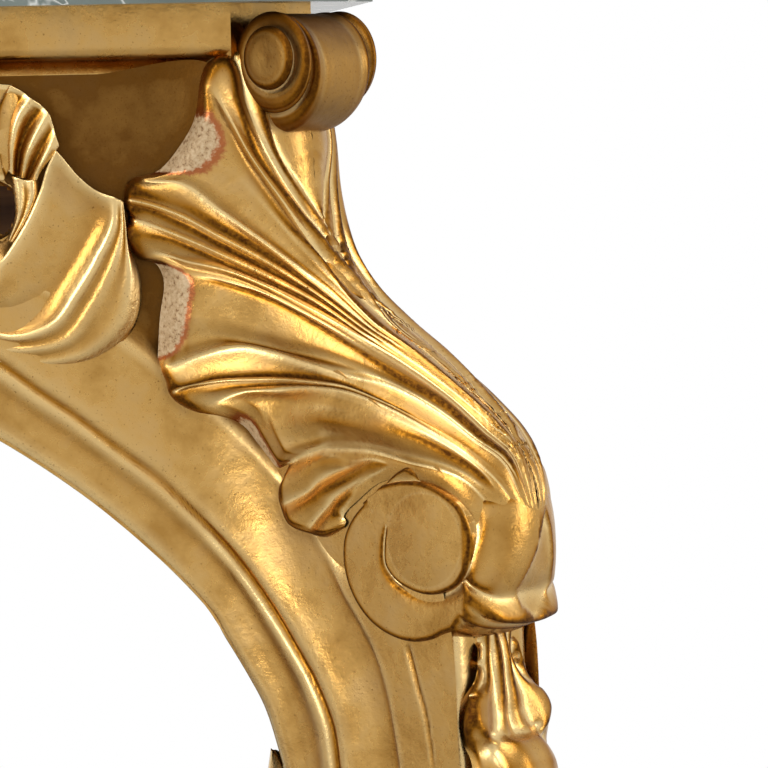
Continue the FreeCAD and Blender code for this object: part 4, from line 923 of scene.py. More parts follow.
# By the distance past the groove: soft roll, then a wide hollow
ROLL = ([0.0, 0.8, 2.0, 5.0, 9.0, 16.0, 26.0, 40.0], [3.3, 3.9, 4.8, 5.6, 5.2, 3.4, 1.4, 0.2])
PANEL_START, PANEL_END = 44.0, 58.0   # past the groove, where the face drops to the recessed panel
PANEL_HEIGHT = -7.5
OPENING_CORE = 0.88                   # the share of the opening's half size that is open; the rest is its wall
PANEL_DIRT_AND_SHADE, NEAR_SHADE_AND_DIRT = 0.8, 0.4    # dirt and painted shade on the recessed panel, and painted shade with some dirt beside the carvings and under the frieze
LEG_FLAT, THIRD_DEPTH = 1.9, 0.5      # the leg's flat, and the third groove's bottom, over the wood
CRACK_DEPTH, CRACK_WIDTH, CRACK_TOP = 1.5, 0.7, 545
LEG_TOP, LEG_FULL = 600, 560          # heights at which the leg's own profile starts and is full


def board_grid(arch, top):
    """Places between the arch and the upper ends: rows up from the arch, columns along it."""
    arch, top = np.array(arch), np.array(top)
    knots = np.concatenate([[0.0], np.cumsum(np.linalg.norm(np.diff((arch + top) / 2, axis=0), axis=1))])
    at = np.linspace(0, knots[-1], int(knots[-1] / SPACING))
    low, high = hermite(knots, arch, at), hermite(knots, top, at)
    share = np.linspace(0, 1, int(BOARD_HEIGHT / SPACING))[:, None, None] ** ROW_POWER
    return low + (high - low) * share


def board_lift(places, arch, groove):
    """Heights over the face, from the distances to the arch, the groove, the third line and the crack."""
    from_arch, _ = signed_gap(places, places[0, ::2])
    past_groove, _ = signed_gap(places, groove)
    share = np.abs(from_arch) / (np.abs(from_arch) + np.abs(past_groove))
    band = profile(share, *BAND)
    roll = profile(past_groove, *ROLL)
    third, along = signed_gap(places, unroll_pixels(THIRD_PIXELS))
    on_leg = smooth_step(along, 0.0, 0.2) * smooth_step(-places[..., 1], -LEG_TOP, -LEG_FULL)
    before = THIRD_DEPTH + (roll - THIRD_DEPTH) * smooth_step(-third, 0.0, 14.0)
    flat = THIRD_DEPTH + (LEG_FLAT - THIRD_DEPTH) * smooth_step(third, 0.0, 3.0)
    leg = np.where(third > 0, flat, before)
    roll = roll + (leg - roll) * on_leg
    crack, at_crack = signed_gap(places, unroll_pixels(CRACK_PIXELS))
    ends = smooth_step(at_crack, -0.01, 0.03)
    width = CRACK_WIDTH * (1.5 - at_crack)
    roll = roll - CRACK_DEPTH * np.exp(-(crack / width) ** 2) * ends * (places[..., 1] < CRACK_TOP)
    outer = smooth_step(past_groove, PANEL_START, PANEL_END) * (1 - on_leg)
    roll = roll + (PANEL_HEIGHT - roll) * outer
    return np.where(past_groove > 0, roll, band), outer


SCROLL_RIM_PIXELS = [(55, 150), (65, 159), (77, 175), (94, 190), (117, 199), (124, 226), (128, 251), (141, 284)]
SHELL_RIM_PIXELS = [(15, 85), (29, 98), (44, 108), (52, 123), (55, 136), (59, 144)]
# How far, in millimetres, the painted shade and dirt beside the carvings and under the frieze reach
SHADE_AND_DIRT_REACH = 3.0


def shade_and_dirt_near(places):
    """Painted shade, with some dirt, beside the leaf, the scroll, the shell and under the frieze: 1 on them, less away
    from them.
    """
    rims = [[points[0] for _, _, points in LEAF_HEADS], SCROLL_RIM_PIXELS, SHELL_RIM_PIXELS]
    gaps = [np.abs(signed_gap(places, unroll_pixels(rim))[0]) for rim in rims]
    gaps.append(FRIEZE_BOTTOM - places[..., 1])
    return np.exp(-np.min(gaps, axis=0) / SHADE_AND_DIRT_REACH)


def carve_board(name, side, arch, groove, top):
    """One carved face from the arch up, with dirt and painted shade on its recessed panel and painted shade beside the
    carvings.
    """
    places = board_grid(arch, top)
    lift, recessed = board_lift(places, arch, groove)
    inside = np.hypot(*((places - OPENING) / OPENING_HALF).transpose(2, 0, 1))
    lift = np.where(inside < 1, OPENING_WALL, lift)
    points = plan_point(places[..., 0], places[..., 1], lift)
    points[inside < OPENING_CORE] = 2 * HOLE
    beyond = places[0] - places[1]
    beyond *= LIP_WIDTH / np.linalg.norm(beyond, axis=-1, keepdims=True)
    turned = ((-2, -LIP_DEPTH), (1, -LIP_DEPTH), (1, lift[0]))
    lip = [plan_point(*(places[0] + way * beyond).T, height) for way, height in turned]
    points = np.concatenate([lip, points])
    # Dirt and painted shade on the recessed panel, and painted shade beside the carvings and under the frieze
    grime_and_shade = PANEL_DIRT_AND_SHADE * recessed + NEAR_SHADE_AND_DIRT * shade_and_dirt_near(places)
    grime_and_shade = np.concatenate([np.repeat(grime_and_shade[:1], len(lip), axis=0), grime_and_shade])
    copies(name, (side,), points, True, grime_and_shade=grime_and_shade)
    print(name, points.shape)


corner_groove = unroll_pixels(GROOVE_PIXELS)
BOARDS = {"inner": (FRONT_ARCH, FRONT_GROOVE, FRONT_TOP), "outer": (SIDE_ARCH, SIDE_GROOVE, SIDE_TOP)}
for side, (arch, groove, top) in BOARDS.items():
    carve_board("carved_apron_{face}_{place}", side, arch + CORNER_ARCH,
                np.vstack([groove, corner_groove]), top + CORNER_TOP)

# %% [markdown]
# ## C-scroll and shell leaf
#
# Each is a sheet through a few long lines. A line's places are pixels of the picture where they show and,
# beyond its left border, places on the unrolled face; each has its height over the face. Between the lines
# the sheet is a smooth curve, so a low line is a flute and a high one a ridge.

# %% Make a sheet from long lines
SKIRT = -4.0                       # how far a sheet's border is turned down under its own edge


def mixed_line(near, far, heights):
    """A line on the unrolled face, from pixels and then from places, with heights."""
    flat = np.vstack([unroll_pixels(near), far])
    along = np.linspace(0, len(heights) - 1, len(flat))
    lifts = hermite(np.arange(len(heights)), np.array(heights, float), along)
    return np.column_stack([flat, lifts])


def between(inner, outer, share):
    """Places at a share of the way from one edge to another."""
    inner, outer = np.array(inner, float), np.array(outer, float)
    return inner + (outer - inner) * share


def surface_between(lines, count, spacing, measured=3):
    """A smooth surface through lines, with rows spaced by the mean distance in their first measured values."""
    rows = np.stack([smooth_line(line, count) for line in lines])
    steps = np.linalg.norm(np.diff(rows[..., :measured], axis=0), axis=-1).mean(axis=1)
    knots = np.concatenate([[0.0], np.cumsum(steps)])
    return hermite(knots, rows, np.linspace(0, knots[-1], int(knots[-1] / spacing) + 2))


def with_skirt(full):
    """The sheet with one more point all round, straight below its border."""
    border = np.pad(full, ((1, 1), (1, 1), (0, 0)), mode="edge")
    border[[0, -1], :, 2] += SKIRT
    border[1:-1, [0, -1], 2] += SKIRT
    return border


def carve_sheet(name, lines, count, spacing, node=None):
    """The sheet on all four faces, in place of its nodes, with its outside towards the camera."""
    points = plan_point(*np.moveaxis(with_skirt(surface_between(lines, count, spacing, 2)), -1, 0))
    across = np.cross(np.diff(points, axis=0)[:, :-1], np.diff(points, axis=1)[:-1])
    away = bool((across * (EYE - points[:-1, :-1])).sum() < 0)
    for side in FACES:
        copies(name, (side,), points, away, node)
    print(name, points.shape, "turned" if away else "")


C_COUNT, SHELL_COUNT, LOBE_COUNT = ((170, 80, 40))
C_STEP, SHELL_STEP = SPACING * 0.7, SPACING * 0.5
print("rows of the scroll every", round(C_STEP, 2), "mm, of the shell every", round(SHELL_STEP, 2), "mm")

# %% Run the C-scroll from its eye on the right to its far tip
C_INNER = [(-84.0, 731.0), (-108.6, 723.1), (-143.5, 735.3), (-173.6, 764.7), (-184.0, 789.0)]
C_OUTER = [(-92.0, 682.0), (-128.6, 699.8), (-170.0, 733.0), (-193.5, 770.0), (-190.0, 791.0)]
C_ROWS = [
    ([(55.5, 150), (47, 167), (40, 190), (31, 211), (15, 240), (0, 261)],
     0.00, [7.5, 4.5, 4.0, 4.5, 6.0, 6.0, 7.0]),
    ([(62, 157), (57, 172), (51, 196), (41, 221), (24, 250), (4, 276)],
     0.16, [7.0, 4.2, 4.2, 4.6, 6.6, 6.5, 7.2]),
    ([(77, 175), (73, 190), (64, 218), (50, 247), (33, 272), (8, 297)],
     0.36, [6.2, 2.8, 2.5, 2.8, 3.5, 5.0, 7.5]),
    ([(99, 192), (99, 209), (83, 247), (62, 282), (42, 306), (10, 320)],
     0.56, [5.6, 1.5, 0.4, 0.4, 1.0, 4.0, 7.5]),
    ([(107, 195), (107, 215), (90, 251), (68, 287), (47, 317), (14, 329)],
     0.62, [6.6, 3.4, 2.4, 2.0, 0.4, 4.6, 7.8]),
    ([(114, 197), (113, 222), (98, 258), (77, 294), (55, 323), (18, 337)],
     0.70, [7.0, 6.8, 6.6, 6.2, 5.6, 6.6, 8.4]),
    ([(118, 199), (118, 228), (105, 263), (84, 301), (62, 331), (20, 343)],
     0.76, [6.6, 4.8, 4.2, 3.8, 3.6, 5.4, 7.4]),
    ([(121, 200), (121, 234), (112, 270), (93, 308), (70, 338), (22, 350)],
     0.84, [6.4, 6.0, 5.8, 5.6, 5.2, 6.4, 7.6]),
    ([(122, 201), (124, 238), (119, 278), (103, 316), (79, 343), (24, 356)],
     0.90, [6.0, 4.2, 3.8, 3.7, 3.8, 5.4, 6.6]),
    ([(123, 202), (127, 242), (129, 284), (116, 324), (90, 350), (26, 363)],
     0.96, [5.6, 4.8, 4.4, 4.2, 4.6, 5.4, 6.4]),
    ([(124, 203), (130, 246), (141, 284), (135, 326), (104, 356), (28, 371)],
     1.00, [1.0, 0.0, -0.4, -0.6, 0.4, 1.0, 2.0]),
]
c_lines = [mixed_line(near, between(C_INNER, C_OUTER, share), lifts) for near, share, lifts in C_ROWS]
carve_sheet("carved_{face}_c_scroll_{place}", c_lines, C_COUNT, C_STEP, "{face}_c_scroll_{place}")

# %% Fan the shell leaf over the opening
SHELL_LOW = [(-78.0, 776.0), (-102.0, 781.0), (-133.8, 783.0), (-160.0, 787.0), (-176.0, 797.0)]
SHELL_TOP = [(-70.7, 824.5), (-108.6, 829.0), (-148.6, 822.0), (-172.0, 810.0), (-181.0, 799.0)]
SHELL_ROWS = [
    ([(34, 186), (42, 170), (51, 158), (59, 146)], [2.0, 3.0, 4.0, 4.5]),
    ([(31, 182), (40, 166), (49, 150), (56, 137)], [0.5, 5.2, 5.6, 5.0]),
    ([(27, 180), (35, 160), (44, 142), (53, 126)], [-2.0, 2.0, 3.0, 4.0]),
    ([(22, 178), (27, 154), (37, 132), (49, 114)], [0.5, 5.5, 6.0, 5.0]),
    ([(17, 177), (20, 150), (29, 125), (42, 106)], [-2.5, 0.5, 1.5, 3.4]),
    ([(12, 174), (12, 146), (19, 117), (32, 99)], [1.5, 5.2, 6.2, 5.4]),
    ([(8, 171), (4, 140), (9, 112), (23, 92)], [1.0, 1.0, 2.0, 3.4]),
    ([(3, 168), (-4, 136), (-1, 107), (12, 86)], [2.5, 5.0, 6.4, 5.6]),
]
NO_PLACES = np.empty((0, 2))
FLUTE_LIFTS, RIB_LIFTS = [1.0, 1.0, 2.0, 3.4], [2.5, 5.0, 6.4, 5.6]
shell_lines = [mixed_line(near, NO_PLACES, lifts) for near, lifts in SHELL_ROWS]
# Past the picture's border flutes and ribs take turns between the leaf's edges, and bulge to the right
stops = np.arange(2 * len(SHELL_LOW) - 1) / 2
low_edge, top_edge = (np.stack([np.interp(stops, range(len(edge)), axis) for axis in zip(*edge)], axis=-1)
                      for edge in (SHELL_LOW, SHELL_TOP))
for index, (start, end) in enumerate(zip(low_edge, top_edge)):
    middle = (start + end) / 2 + (4.0, 0.0)
    flat = np.stack([start, (start + middle) / 2 + (2.0, 0.0), (middle + end) / 2 + (2.0, 0.0), end])
    shell_lines.append(np.column_stack([flat, RIB_LIFTS if index % 2 else FLUTE_LIFTS]))
carve_sheet("carved_{face}_shell_{place}", shell_lines, SHELL_COUNT, SHELL_STEP, "{face}_shell_leaf_{place}")

# The shell's lower lobe hangs between the opening and the scroll
LOBE_ROWS = [
    ([(12, 176), (14, 194), (15, 215), (8, 240)], [3.0, 2.5, 2.0, 1.0]),
    ([(18, 178), (20, 195), (19, 215), (9, 241)], [4.5, 5.0, 4.4, 2.0]),
    ([(25, 180), (26, 196), (22, 216), (10, 242)], [3.5, 3.4, 3.0, 1.5]),
    ([(33, 180), (33, 195), (27, 214), (12, 242)], [4.8, 4.6, 3.6, 2.0]),
    ([(38, 180), (38, 194), (31, 213), (14, 242)], [1.0, 1.0, 0.8, 0.5]),
]
lobe_lines = [mixed_line(near, NO_PLACES, lifts) for near, lifts in LOBE_ROWS]
carve_sheet("carved_{face}_shell_lobe_{place}", lobe_lines, LOBE_COUNT, SHELL_STEP)

# %% [markdown]
# ## Leaves on the lower leg
#
# Below the volute a bunch of leaf hangs down the leg's front: strands that start under the knee, a lobe that
# curls over on the side, and a folded leaf in front. Its long lines run downwards; each place is a pixel of
# the picture (below its border too) and a distance across the leg. A small leaf curls up on the inner edge.

# %% Hang the strands
STRANDS = [
    [(476, 630, 15), (478, 652, 17), (474, 682, 21.5), (463, 699, 26), (459, 722, 29.5), (463, 744, 31),
     (470, 758, 30), (474, 780, 30), (478, 825, 30), (492, 868, 24)],
    [(479, 630, 14.5), (480, 654, 15.5), (477, 684, 21), (469, 699, 28), (465, 722, 33), (469, 742, 32),
     (476, 755, 29), (482, 778, 29), (486, 824, 28), (496, 869, 22)],
    [(483, 629, 12.5), (482, 656, 12), (482, 684, 17), (477, 699, 26), (476, 720, 31), (478, 739, 29),
     (482, 753, 26), (492, 776, 26), (496, 823, 25), (500, 870, 19)],
    [(488, 629, 9.5), (488, 656, 9.5), (489, 682, 13.5), (487, 698, 19), (487, 718, 23), (488, 735, 24.5),
     (490, 748, 21), (502, 772, 21), (505, 822, 20), (504, 872, 16)],
    [(491, 628, 6.5), (491, 655, 6.5), (493, 681, 9), (493, 699, 12), (494, 718, 13.5), (495, 734, 16),
     (500, 745, 17), (512, 768, 18), (514, 820, 17), (508, 873, 12)],
    [(495, 627, 3.5), (500, 653, 4), (503, 680, 4.5), (504, 699, 5.5), (505, 718, 6), (508, 733, 8),
     (517, 743, 10), (528, 762, 10), (526, 818, 9), (513, 875, 6)],
    [(497, 627, 0), (503, 652, 0), (506, 680, 0), (508, 700, 0), (509, 718, 0), (514, 732, 0),
     (530, 741, 0), (541, 760, 0), (536, 817, 0), (517, 876, 0)],
]
# Pixel, place across, radius and depth of the pits between the strands
STRAND_PITS = [(481, 641, 15, 2.4, 5.0), (481, 664, 15, 2.2, 4.0), (474, 696, 26, 1.8, 2.5), (496, 734, 18, 2.0, 3.0)]
STRAND_COUNT, STRAND_STEP = ((200, 0.8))


def placed_lines(lines):
    """Out, height and across for lines given by pixels and distances across the leg."""
    lines = np.array(lines, float)
    flat = lines.reshape(-1, 3)
    place = np.column_stack([on_side(flat[:, :2], flat[:, 2]), flat[:, 2]])
    return place.reshape(lines.shape)


def both_halves(half):
    """The near half, the middle and the far half as one surface."""
    return np.concatenate([half, (half * (1, 1, -1))[-2::-1]])


strands = surface_between(placed_lines(STRANDS), STRAND_COUNT, STRAND_STEP)
for x, y, across, radius, depth in STRAND_PITS:
    middle = np.append(on_side(np.array([(x, y)], float), np.array([across], float))[0], across)
    away = np.linalg.norm(strands - middle, axis=-1)
    strands[..., :1] -= depth * np.exp(-(away[..., None] / radius) ** 2)
strands = both_halves(strands)
strand_points = leg_point(*np.moveaxis(strands, -1, 0))
on_both_legs("carved_leg_leaf_{place}", [(strand_points, False, False)], "leg_leaf_{place}")
print("strands", strand_points.shape)

# %% Curl a small leaf on the inner edge
# Out, height and across, from the root below to the tip above; the last line is the leaf's middle
SMALL_LEAF = [
    [(46, 392, 14.0), (31, 420, 15.5), (21, 443, 15.0), (8, 456, 10.0), (-6, 466, 3.0)],
    [(42, 384, 15.0), (24, 410, 16.5), (11, 436, 15.5), (0, 454, 10.5), (-8, 467, 2.6)],
    [(38, 379, 10.0), (17, 404, 11.5), (2, 430, 11.0), (-8, 452, 7.5), (-10, 468, 1.8)],
    [(36, 377, 6.0), (14, 402, 7.0), (-1, 428, 6.5), (-10, 451, 4.5), (-11, 468, 1.0)],
    [(33, 375, 0.0), (10, 400, 0.0), (-7, 425, 0.0), (-15, 450, 0.0), (-12, 469, 0.0)],
]
SMALL_COUNT = 80
small = both_halves(surface_between(np.array(SMALL_LEAF, float), SMALL_COUNT, STRAND_STEP))
small_points = leg_point(*np.moveaxis(small, -1, 0))
on_both_legs("carved_inner_leaf_{place}", [(small_points, True, False)], "inner_leaf_{place}")
print("small leaf", small_points.shape)

# %% Skin the shaft of the leg
# Height, inner and outer edge, half width of the shaft
SHAFT = np.array([(566, 14, 140, 31.6), (500, 14, 143, 31.6), (466, 27, 145, 31.5), (400, 35, 140, 30.7),
                  (330, 30, 120, 29.1), (250, 15, 92, 26.9), (190, 2, 72, 25.3), (130, -6, 54, 24.6),
                  (80, -4, 56, 25.6), (45, 10, 62, 27.5)], float)
SHAFT_OVER = 0.4                       # the skin lies this far over the wood
SHAFT_SQUARE = 9.0                     # the power of the rounded section
SHAFT_ROWS, SHAFT_COLUMNS = ((190, 180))
# Across the side from inner to outer edge: hollow, ridge, groove, roll, third groove, flat
SHAFT_SIDE = ([0.0, 0.03, 0.10, 0.20, 0.28, 0.31, 0.345, 0.36, 0.38, 0.42, 0.48, 0.56, 0.64, 0.66, 0.69, 0.90, 1.0],
              [0.0, 3.6, 4.5, 3.8, 4.6, 6.2, 5.0, 3.3, 4.6, 5.4, 4.4, 2.0, 0.7, 0.5, 1.7, 1.5, 0.0])
SIDE_LEFT = 0.4                        # what is left of the side's relief at the foot
RELIEF_BOTTOM, RELIEF_TOP = 120, 466   # heights between which it grows; above, the board's own skin carries it


def shaft_skin():
    """A tube of rounded sections: |cos| and |sin| to the power 2 / n, the sides carved by their share across."""
    rows = SHAFT[::-1]
    z = np.linspace(rows[0, 0], rows[-1, 0], SHAFT_ROWS)
    inner, outer, half = hermite(rows[:, 0], rows[:, 1:], z).T[..., None]
    angle = np.linspace(0, 2 * np.pi, SHAFT_COLUMNS, endpoint=False)
    cos, sin = np.cos(angle), np.sin(angle)
    power = 2 / SHAFT_SQUARE
    middle, reach = (inner + outer) / 2, (outer - inner) / 2 + SHAFT_OVER
    s = middle + reach * np.sign(cos) * np.abs(cos) ** power
    t = (half + SHAFT_OVER) * np.sign(sin) * np.abs(sin) ** power
    share = np.clip((s - inner) / (outer - inner), 0, 1)
    below = 1 - smooth_step(z, RELIEF_TOP - 2, RELIEF_TOP + 2)
    left = (SIDE_LEFT + (1 - SIDE_LEFT) * smooth_step(z, RELIEF_BOTTOM, RELIEF_TOP)) * below
    flank = smooth_step(np.abs(t), half * 0.6, half * 0.97)
    t = t + np.sign(t) * profile(share, *SHAFT_SIDE) * left[:, None] * flank
    return leg_point(s, z[:, None], t)


shaft = shaft_skin().transpose(1, 0, 2)
on_both_legs("carved_leg_shaft_{place}", [(shaft, True, True)])
print("shaft", shaft.shape)

# %% [markdown]
# ## Cartouche in the middle of the apron
#
# Where the two front arches meet, a cartouche covers the joint: a rolled rim, a hollow, and a shell whose
# flutes fan out from a hinge below. It is a polar grid round its middle, and one profile gives its height
# over the apron by the share of the way out.

# %% Carve the cartouche
CARTOUCHE_MIDDLE = np.array([0.0, 717.0])
CARTOUCHE_HALF = np.array([114.0, 109.0])
CARTOUCHE_LOBES, LOBE_SHARE = 8, 0.045
CARTOUCHE_PROFILE = ([0.0, 0.2, 0.38, 0.50, 0.56, 0.62, 0.72, 0.80, 0.88, 0.94, 0.98, 1.0],
                     [44.0, 42.0, 36.0, 27.0, 15.0, 10.0, 9.0, 12.0, 20.0, 19.0, 12.0, -2.0])
HINGE_DROP, FLUTES, FLUTE_DEPTH = 62.0, 22.0, 4.0
NICK_DEPTH = 2.5                   # of the nicks in the rim between its lobes
GROUND_SETBACK = 8                 # the apron's recessed ground, behind the frieze's face
CARTOUCHE_ROWS, CARTOUCHE_COLUMNS = ((400, 130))


def cartouche_points():
    """Rows round the middle, columns outwards; flutes are |sin| of the angle at the hinge, faded at both ends."""
    angle = np.linspace(0, 2 * np.pi, CARTOUCHE_ROWS, endpoint=False)[:, None]
    way = np.stack([np.cos(angle), np.sin(angle)], axis=-1)
    to_edge = 1 / np.linalg.norm(way / CARTOUCHE_HALF, axis=-1)
    radius = to_edge * (1 - LOBE_SHARE * (1 + np.cos(CARTOUCHE_LOBES * angle)))
    share = np.linspace(0, 1, CARTOUCHE_COLUMNS)[None]
    place = CARTOUCHE_MIDDLE + way * (radius * share)[..., None]
    lift = profile(share + 0 * angle, *CARTOUCHE_PROFILE)
    hinge = place - CARTOUCHE_MIDDLE + (0, HINGE_DROP)
    fan = np.arctan2(hinge[..., 0], hinge[..., 1])
    flute = np.abs(np.sin(fan * FLUTES / 2))
    inside = (1 - smooth_step(share, 0.50, 0.58)) * smooth_step(np.linalg.norm(hinge, axis=-1), 6, 30)
    rim = smooth_step(share, 0.62, 0.70) * (1 - smooth_step(share, 0.90, 0.98))
    nick = 1 - np.abs(np.sin(CARTOUCHE_LOBES / 2 * angle))
    lift = lift - FLUTE_DEPTH * (1 - flute) * inside - NICK_DEPTH * nick * rim
    return np.stack([place[..., 0], FRONT + GROUND_SETBACK - lift, place[..., 1]], axis=-1)


cartouche = cartouche_points()
gilded("carved_cartouche", [(cartouche, False, True)], ["front_cartouche", "front_cartouche_shell"])
print("cartouche", cartouche.shape, np.round(cartouche.min((0, 1)), 1), np.round(cartouche.max((0, 1)), 1))

# %% [markdown]
# ## Water gilding
#
# Water gilding is gold leaf on red clay, called bole, over white gesso, burnished with a stone. Metal all
# over, it mirrors its surroundings softly. Age leaves brown in the hollows, thins the gold to red on sharp
# edges, and bares the pale gesso where a rim has been knocked. Painted shade deepens the brown in the
# hollows, the recesses and under the slab, and the ridges are painted paler as a painted highlight.

# %% Helpers for colours and nodes
def colour(code):
    """A linear colour from an sRGB hex code: ((c + 0.055) / 1.055) ** 2.4, or c / 12.92 where it is dark."""
    channels = np.array([int(code[i:i + 2], 16) / 255 for i in (0, 2, 4)])
    linear = np.where(channels > 0.04045, ((channels + 0.055) / 1.055) ** 2.4, channels / 12.92)
    return (*linear.tolist(), 1.0)


def new_material(name):
    """An empty material with a Principled surface; returns the material, its nodes and its shader."""
    material = bpy.data.materials.new(name)
    material.use_nodes = True
    tree = material.node_tree
    shader = next(node for node in tree.nodes if node.type == "BSDF_PRINCIPLED")
    return material, tree, shader


def add(tree, kind, settings=None, inputs=None, stops=None):
    """Adds one node: its settings, its inputs as values or links from other sockets, a ramp's stops and colours."""
    node = tree.nodes.new(kind)
    for key, value in (settings or {}).items():
        setattr(node, key, value)
    for key, value in (inputs or {}).items():
        if isinstance(value, bpy.types.NodeSocket):
            tree.links.new(value, node.inputs[key])
        else:
            node.inputs[key].default_value = value
    if stops:
        elements = node.color_ramp.elements
        for element, (position, code) in zip(elements, (stops[0], stops[-1])):
            element.position, element.color = position, colour(code)
        for position, code in stops[1:-1]:
            elements.new(position).color = colour(code)
    return node


print("the gold's middle colour, linear:", np.round(colour("BC9352"), 3).tolist())

# %% Water gilding over bole and gesso
# Sizes in millimetres: clouds of wear as wide as a few leaves' overlaps, the gesso's grain drawn as coarse as
# it shows, and specks of dirt
CLOUD_SIZE, GRAIN_SIZE, SPECK_SIZE = 26.3158, 2.38095, 1.11111
# Each coat over the gold: the signal that shows it and a share of a second one that breaks it up, the sums at
# which it starts and is full, how much it covers then, and its colour (none for the last, the bare gesso)
COATS = {
    "rubbed_and_highlit": ("edge", "fine", 0.0, 0.05, 0.7, 0.8, "E3C68C"),       # burnished ridges are paler, and this paler colour is also a painted highlight
    "toned_and_shaded": ("hollow", "cloud", 0.3, 0.2, 0.85, 1.0, "97631A"),     # old size and dust tone the hollows, deepened by painted shade
    "deep": ("hollow", "fine", 0.7, 1.0, 1.42, 1.0, "41230A"),       # dirt at their bottom, and painted shade
    "dirty_and_shaded": ("grime_and_shade", "cloud", 0.9, 0.45, 1.3, 0.92, "553107"),     # dirt and painted shade on the recessed panel, beside carvings, under the frieze and on the curl
    "speck": ("specks", "grime_and_shade", 0.06, 0.67, 0.74, 0.7, "5E3A12"),   # fly specks and pits
    "bole": ("edge", "fine", 1.0, 1.55, 1.75, 0.6, "9C5A34"),        # the sharpest ridges, rubbed to the bole
    "rim": ("worn", "fine", 0.5, 0.45, 0.6, 1.0, "9E5E38"),          # bole round the bare gesso
    "bare": ("worn", "fine", 0.5, 0.72, 0.86, 1.0, None),
}


def make_gilding():
    """Gold leaf on bole and gesso: a burnished metal, clouded between three golds, under its coats of age, of painted
    shade in hollows and recesses, and of painted highlight on ridges.
    """
    material, tree, shader = new_material("water_gilding_on_gesso")
    place = add(tree, "ShaderNodeTexCoord").outputs["Object"]
    signals = {name: add(tree, "ShaderNodeAttribute", {"attribute_name": name}).outputs["Fac"]
               for name in ("hollow", "edge", "worn", "grime_and_shade")}
    for name, size, detail, rough in (
            ("cloud", CLOUD_SIZE, 5.0, 0.6), ("fine", GRAIN_SIZE, 4.0, 0.7), ("specks", SPECK_SIZE, 2.0, 0.5)):
        signals[name] = add(tree, "ShaderNodeTexNoise", inputs={
            "Vector": place, "Scale": 1 / (size * MM), "Detail": detail, "Roughness": rough}).outputs["Fac"]
    cloud, fine = signals["cloud"], signals["fine"]
    gold = add(tree, "ShaderNodeValToRGB", inputs={"Fac": cloud},
               stops=[(0.30, "A67C3E"), (0.50, "BC9352"), (0.70, "CAA569")]).outputs["Color"]
    gesso = add(tree, "ShaderNodeValToRGB", inputs={"Fac": fine},
                stops=[(0.36, "8A6A48"), (0.44, "C2A27A"), (0.62, "D6BC96")]).outputs["Color"]
    shares = {}
    for coat, (first, second, part, low, high, most, code) in COATS.items():
        total = add(tree, "ShaderNodeMath", {"operation": "MULTIPLY_ADD"},
                    {0: signals[second], 1: part, 2: signals[first]})
        shares[coat] = add(tree, "ShaderNodeMapRange", inputs={
            "Value": total.outputs[0], "From Min": low, "From Max": high, "To Max": most}).outputs[0]
        gold = add(tree, "ShaderNodeMix", {"data_type": "RGBA"}, {
            0: shares[coat], 6: gold, 7: colour(code) if code else gesso}).outputs[2]
    tree.links.new(gold, shader.inputs["Base Color"])
    # Bare gesso isn't metal, and shines less
    for socket, start, end in (("Metallic", 1.0, 0.1), ("Specular IOR Level", 0.5, 0.15)):
        fall = add(tree, "ShaderNodeMapRange", inputs={"Value": shares["bare"], "To Min": start, "To Max": end})
        tree.links.new(fall.outputs[0], shader.inputs[socket])
    dull = shares["deep"]
    for coat in ("dirty_and_shaded", "bare"):
        dull = add(tree, "ShaderNodeMath", {"operation": "MAXIMUM"}, {0: dull, 1: shares[coat]}).outputs[0]
    polish = add(tree, "ShaderNodeMapRange", inputs={
        "Value": cloud, "From Min": 0.3, "From Max": 0.7, "To Min": 0.2, "To Max": 0.34}).outputs[0]
    rough = add(tree, "ShaderNodeMath", {"operation": "MULTIPLY_ADD"}, {0: dull, 1: 0.28, 2: polish})
    tree.links.new(rough.outputs[0], shader.inputs["Roughness"])
    bump = add(tree, "ShaderNodeBump", inputs={"Strength": 0.3, "Distance": 0.0006, "Height": fine})
    swell = add(tree, "ShaderNodeBump", inputs={
        "Strength": 0.4, "Distance": 0.002, "Height": cloud, "Normal": bump.outputs["Normal"]})
    tree.links.new(swell.outputs["Normal"], shader.inputs["Normal"])
    return material


GILDING = make_gilding()
for piece in PIECES:
    piece.data.materials.clear()
    piece.data.materials.append(GILDING)
print("pieces gilded:", len(PIECES))

# %% Put finishes on the frame's own pieces
def repaint(slot_name, material):
    """Gives every CAD node that uses the slot the new material."""
    slots = [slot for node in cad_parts.values() for slot in node.material_slots
             if slot.material and slot.material.name.split(".")[0] == slot_name]
    for slot in slots:
        slot.material = material
    print(slot_name, "on", len(slots), "nodes")


# Sizes of the patterns in millimetres; the pine's grain is stretched to this many times its width
MARBLE_CLOUD_SIZE, METAL_CLOUD_SIZE, PINE_GRAIN_SIZE = 250.0, 16.6667, 12.5
PINE_GRAIN_STRETCH = 40 / 3


